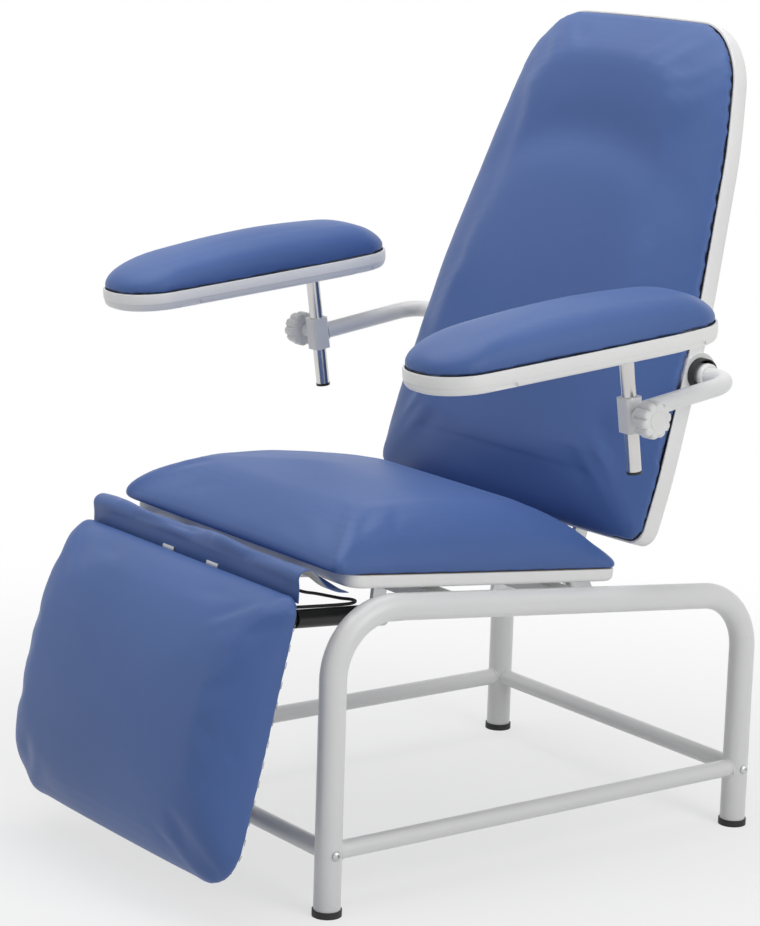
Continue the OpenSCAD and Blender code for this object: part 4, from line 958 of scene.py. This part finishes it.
heads, head_faces = [], []
form, form_faces = screw_head()
for x in (-1, 1):
    for y in (-1, 1):
        start = sum(len(h) for h in heads)
        turned = form.copy()
        if x < 0:
            turned = turned * [-1, -1, 1]
        heads.append(turned + [x * 0.3212, SHIFT + y * 0.394, 0.095])
        head_faces += [tuple(start + i for i in f) for f in form_faces]
screws = mesh_object("button_screws", np.vstack(heads), head_faces, Matrix.Identity(4), "steel", None)
tidy_normals(screws)
sharp_smooth(screws, 40)
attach(screws, "base")
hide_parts("frame_screws")

for side, word in ((1, "left"), (-1, "right")):
    at = np.array(arm_frame(side))
    lip, lip_faces = lathe([(0.3340, 0.0170), (0.3340, 0.0179), (0.3346, 0.0184), (0.3415, 0.0184),
                            (0.3426, 0.0179), (0.3430, 0.0166), (0.3430, 0.0137), (0.3415, 0.0137)], 72)
    lip = mesh_object("sleeve_lip_" + word, lip, lip_faces, BACK @ move(0, 0.3133, 0.0046)
                      @ Matrix.Diagonal((side, 1, 1, 1)), "white_plastic", None)
    tidy_normals(lip)
    sharp_smooth(lip, 40)
    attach(lip, "backrest")
    a = 2 * np.pi * np.arange(72) / 72
    ring = np.stack([0.397 + 0.0138 * np.cos(a), np.full(72, -0.2039 + 0.0151), 0.0138 * np.sin(a)], 1)
    ring = ring @ at[:3, :3].T + at[:3, 3]
    swell = 0.0017 + 0.0003 * rng.random(72)
    bead = tube_along("clamp_weld_" + word, ring, swell, "white_paint", "arm_" + word)
print("welds", count + 2, "screws 4, sleeve lips 2")

# %% [markdown]
# ## Staples behind the leg pad
# The leg pad's vinyl is folded over its board and stapled. From behind, the row of staples shows
# on the folded margin.

# %%
px, ps = outline(0.442, PADS["leg"]["half"], PADS["leg"]["corners"], straight=90, turn=40)
inset = 0.009
path = np.stack([px * (0.301 - inset), inset + ps * (0.442 - 2 * inset)], 1)
gaps = np.linalg.norm(np.diff(path, axis=0, append=path[:1]), axis=1)
length_along = np.concatenate([[0], np.cumsum(gaps)[:-1]])
total = gaps.sum()
number = int(total / 0.028)
points, faces = [], []
for n in range(number):
    want = (n + 0.2 * rng.random()) * total / number
    i = int(np.searchsorted(length_along, want)) % len(path)
    d = path[(i + 3) % len(path)] - path[i - 3]
    angle = math.atan2(d[1], d[0]) + 0.18 * (rng.random() - 0.5)
    c, s = math.cos(angle), math.sin(angle)
    start = len(points)
    for lx, ly, lz in ((-.005, -.0005, 0), (.005, -.0005, 0), (.005, .0005, 0), (-.005, .0005, 0),
                       (-.0047, -.0004, -.0006), (.0047, -.0004, -.0006), (.0047, .0004, -.0006),
                       (-.0047, .0004, -.0006)):
        points.append((path[i][0] + c * lx - s * ly, path[i][1] + s * lx + c * ly, lz))
    faces += [tuple(start + v for v in f) for f in
              ((0, 1, 2, 3), (4, 7, 6, 5), (0, 4, 5, 1), (1, 5, 6, 2), (2, 6, 7, 3), (3, 7, 4, 0))]
staples = mesh_object("leg_staples", points, faces, LEG_PAD, "steel", None, smooth=False)
tidy_normals(staples)
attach(staples, "leg_rest")
print("staples", number)

# %% [markdown]
# ## Studio
# The floor is pale and takes a soft shadow. Far from the chair it fades to the white of the
# backdrop. A large lamp overhead, one at the front and a weak one at the side light the chair.

# %%
def seen(tree):
    """One for rays that see the backdrop itself: from the camera, off metal and through glass."""
    rays = tree.nodes.new("ShaderNodeLightPath").outputs
    straight = Sock(tree, rays["Is Camera Ray"])
    return straight.math("MAXIMUM", straight.math("MAXIMUM", straight, Sock(tree, rays["Is Glossy Ray"])),
                         Sock(tree, rays["Is Transmission Ray"]))


floor_mat = bpy.data.materials.new("studio_floor")
floor_mat.use_nodes = True
tree = floor_mat.node_tree
tree.nodes.clear()
end = tree.nodes.new("ShaderNodeOutputMaterial")
space = tree.nodes.new("ShaderNodeTexCoord")
here = Sock(tree, space.outputs["Object"])
distance = here.node("VectorMath", {0: here}, out=1, operation="LENGTH")
paper = here.node("BsdfDiffuse", {"Color": rgba(0.86, 0.86, 0.86), "Roughness": 0.4})
glow = here.node("Emission", {"Color": rgba(1, 1, 1), "Strength": 1.0})
fade = (0.62 + 0.38 * distance.step(0.5, 1.9)) * seen(tree)
blend = here.node("MixShader", {0: fade, 1: paper, 2: glow})
tree.links.new(blend.out, end.inputs["Surface"])
bpy.ops.mesh.primitive_circle_add(vertices=96, radius=22, fill_type="NGON", location=(0, 0, 0))
floor = bpy.context.object
floor.name = "studio_floor"
floor.data.materials.append(floor_mat)

world = bpy.data.worlds.new("studio")
scene.world = world
world.use_nodes = True
tree = world.node_tree
tree.nodes.clear()
out = tree.nodes.new("ShaderNodeOutputWorld")
backdrop = seen(tree)
soft = backdrop.node("Background", {"Color": rgba(0.99, 0.995, 1.0), "Strength": 0.27})
white = backdrop.node("Background", {"Color": rgba(1, 1, 1), "Strength": 1.0})
both = backdrop.node("MixShader", {0: backdrop, 1: soft, 2: white})
tree.links.new(both.out, out.inputs["Surface"])


def lamp(name, where, target, size, watts, tint=(1, 1, 1)):
    data = bpy.data.lights.new(name, "AREA")
    data.shape = "RECTANGLE"
    data.size, data.size_y = size
    data.energy = watts
    data.color = tint
    obj = bpy.data.objects.new(name, data)
    scene.collection.objects.link(obj)
    obj.location = where
    aim = Vector(target) - Vector(where)
    obj.rotation_euler = aim.to_track_quat("-Z", "Y").to_euler()


lamp("overhead", (-0.3, -0.4, 3.6), (0, 0, 0.6), (3.4, 3.4), 76)
lamp("front", (-1.6, -3.6, 2.2), (0, 0, 0.6), (2.2, 2.2), 7)
lamp("side", (3.6, 0.6, 2.0), (0, 0, 0.6), (2.0, 2.4), 44)
scene.view_settings.view_transform = "Standard"
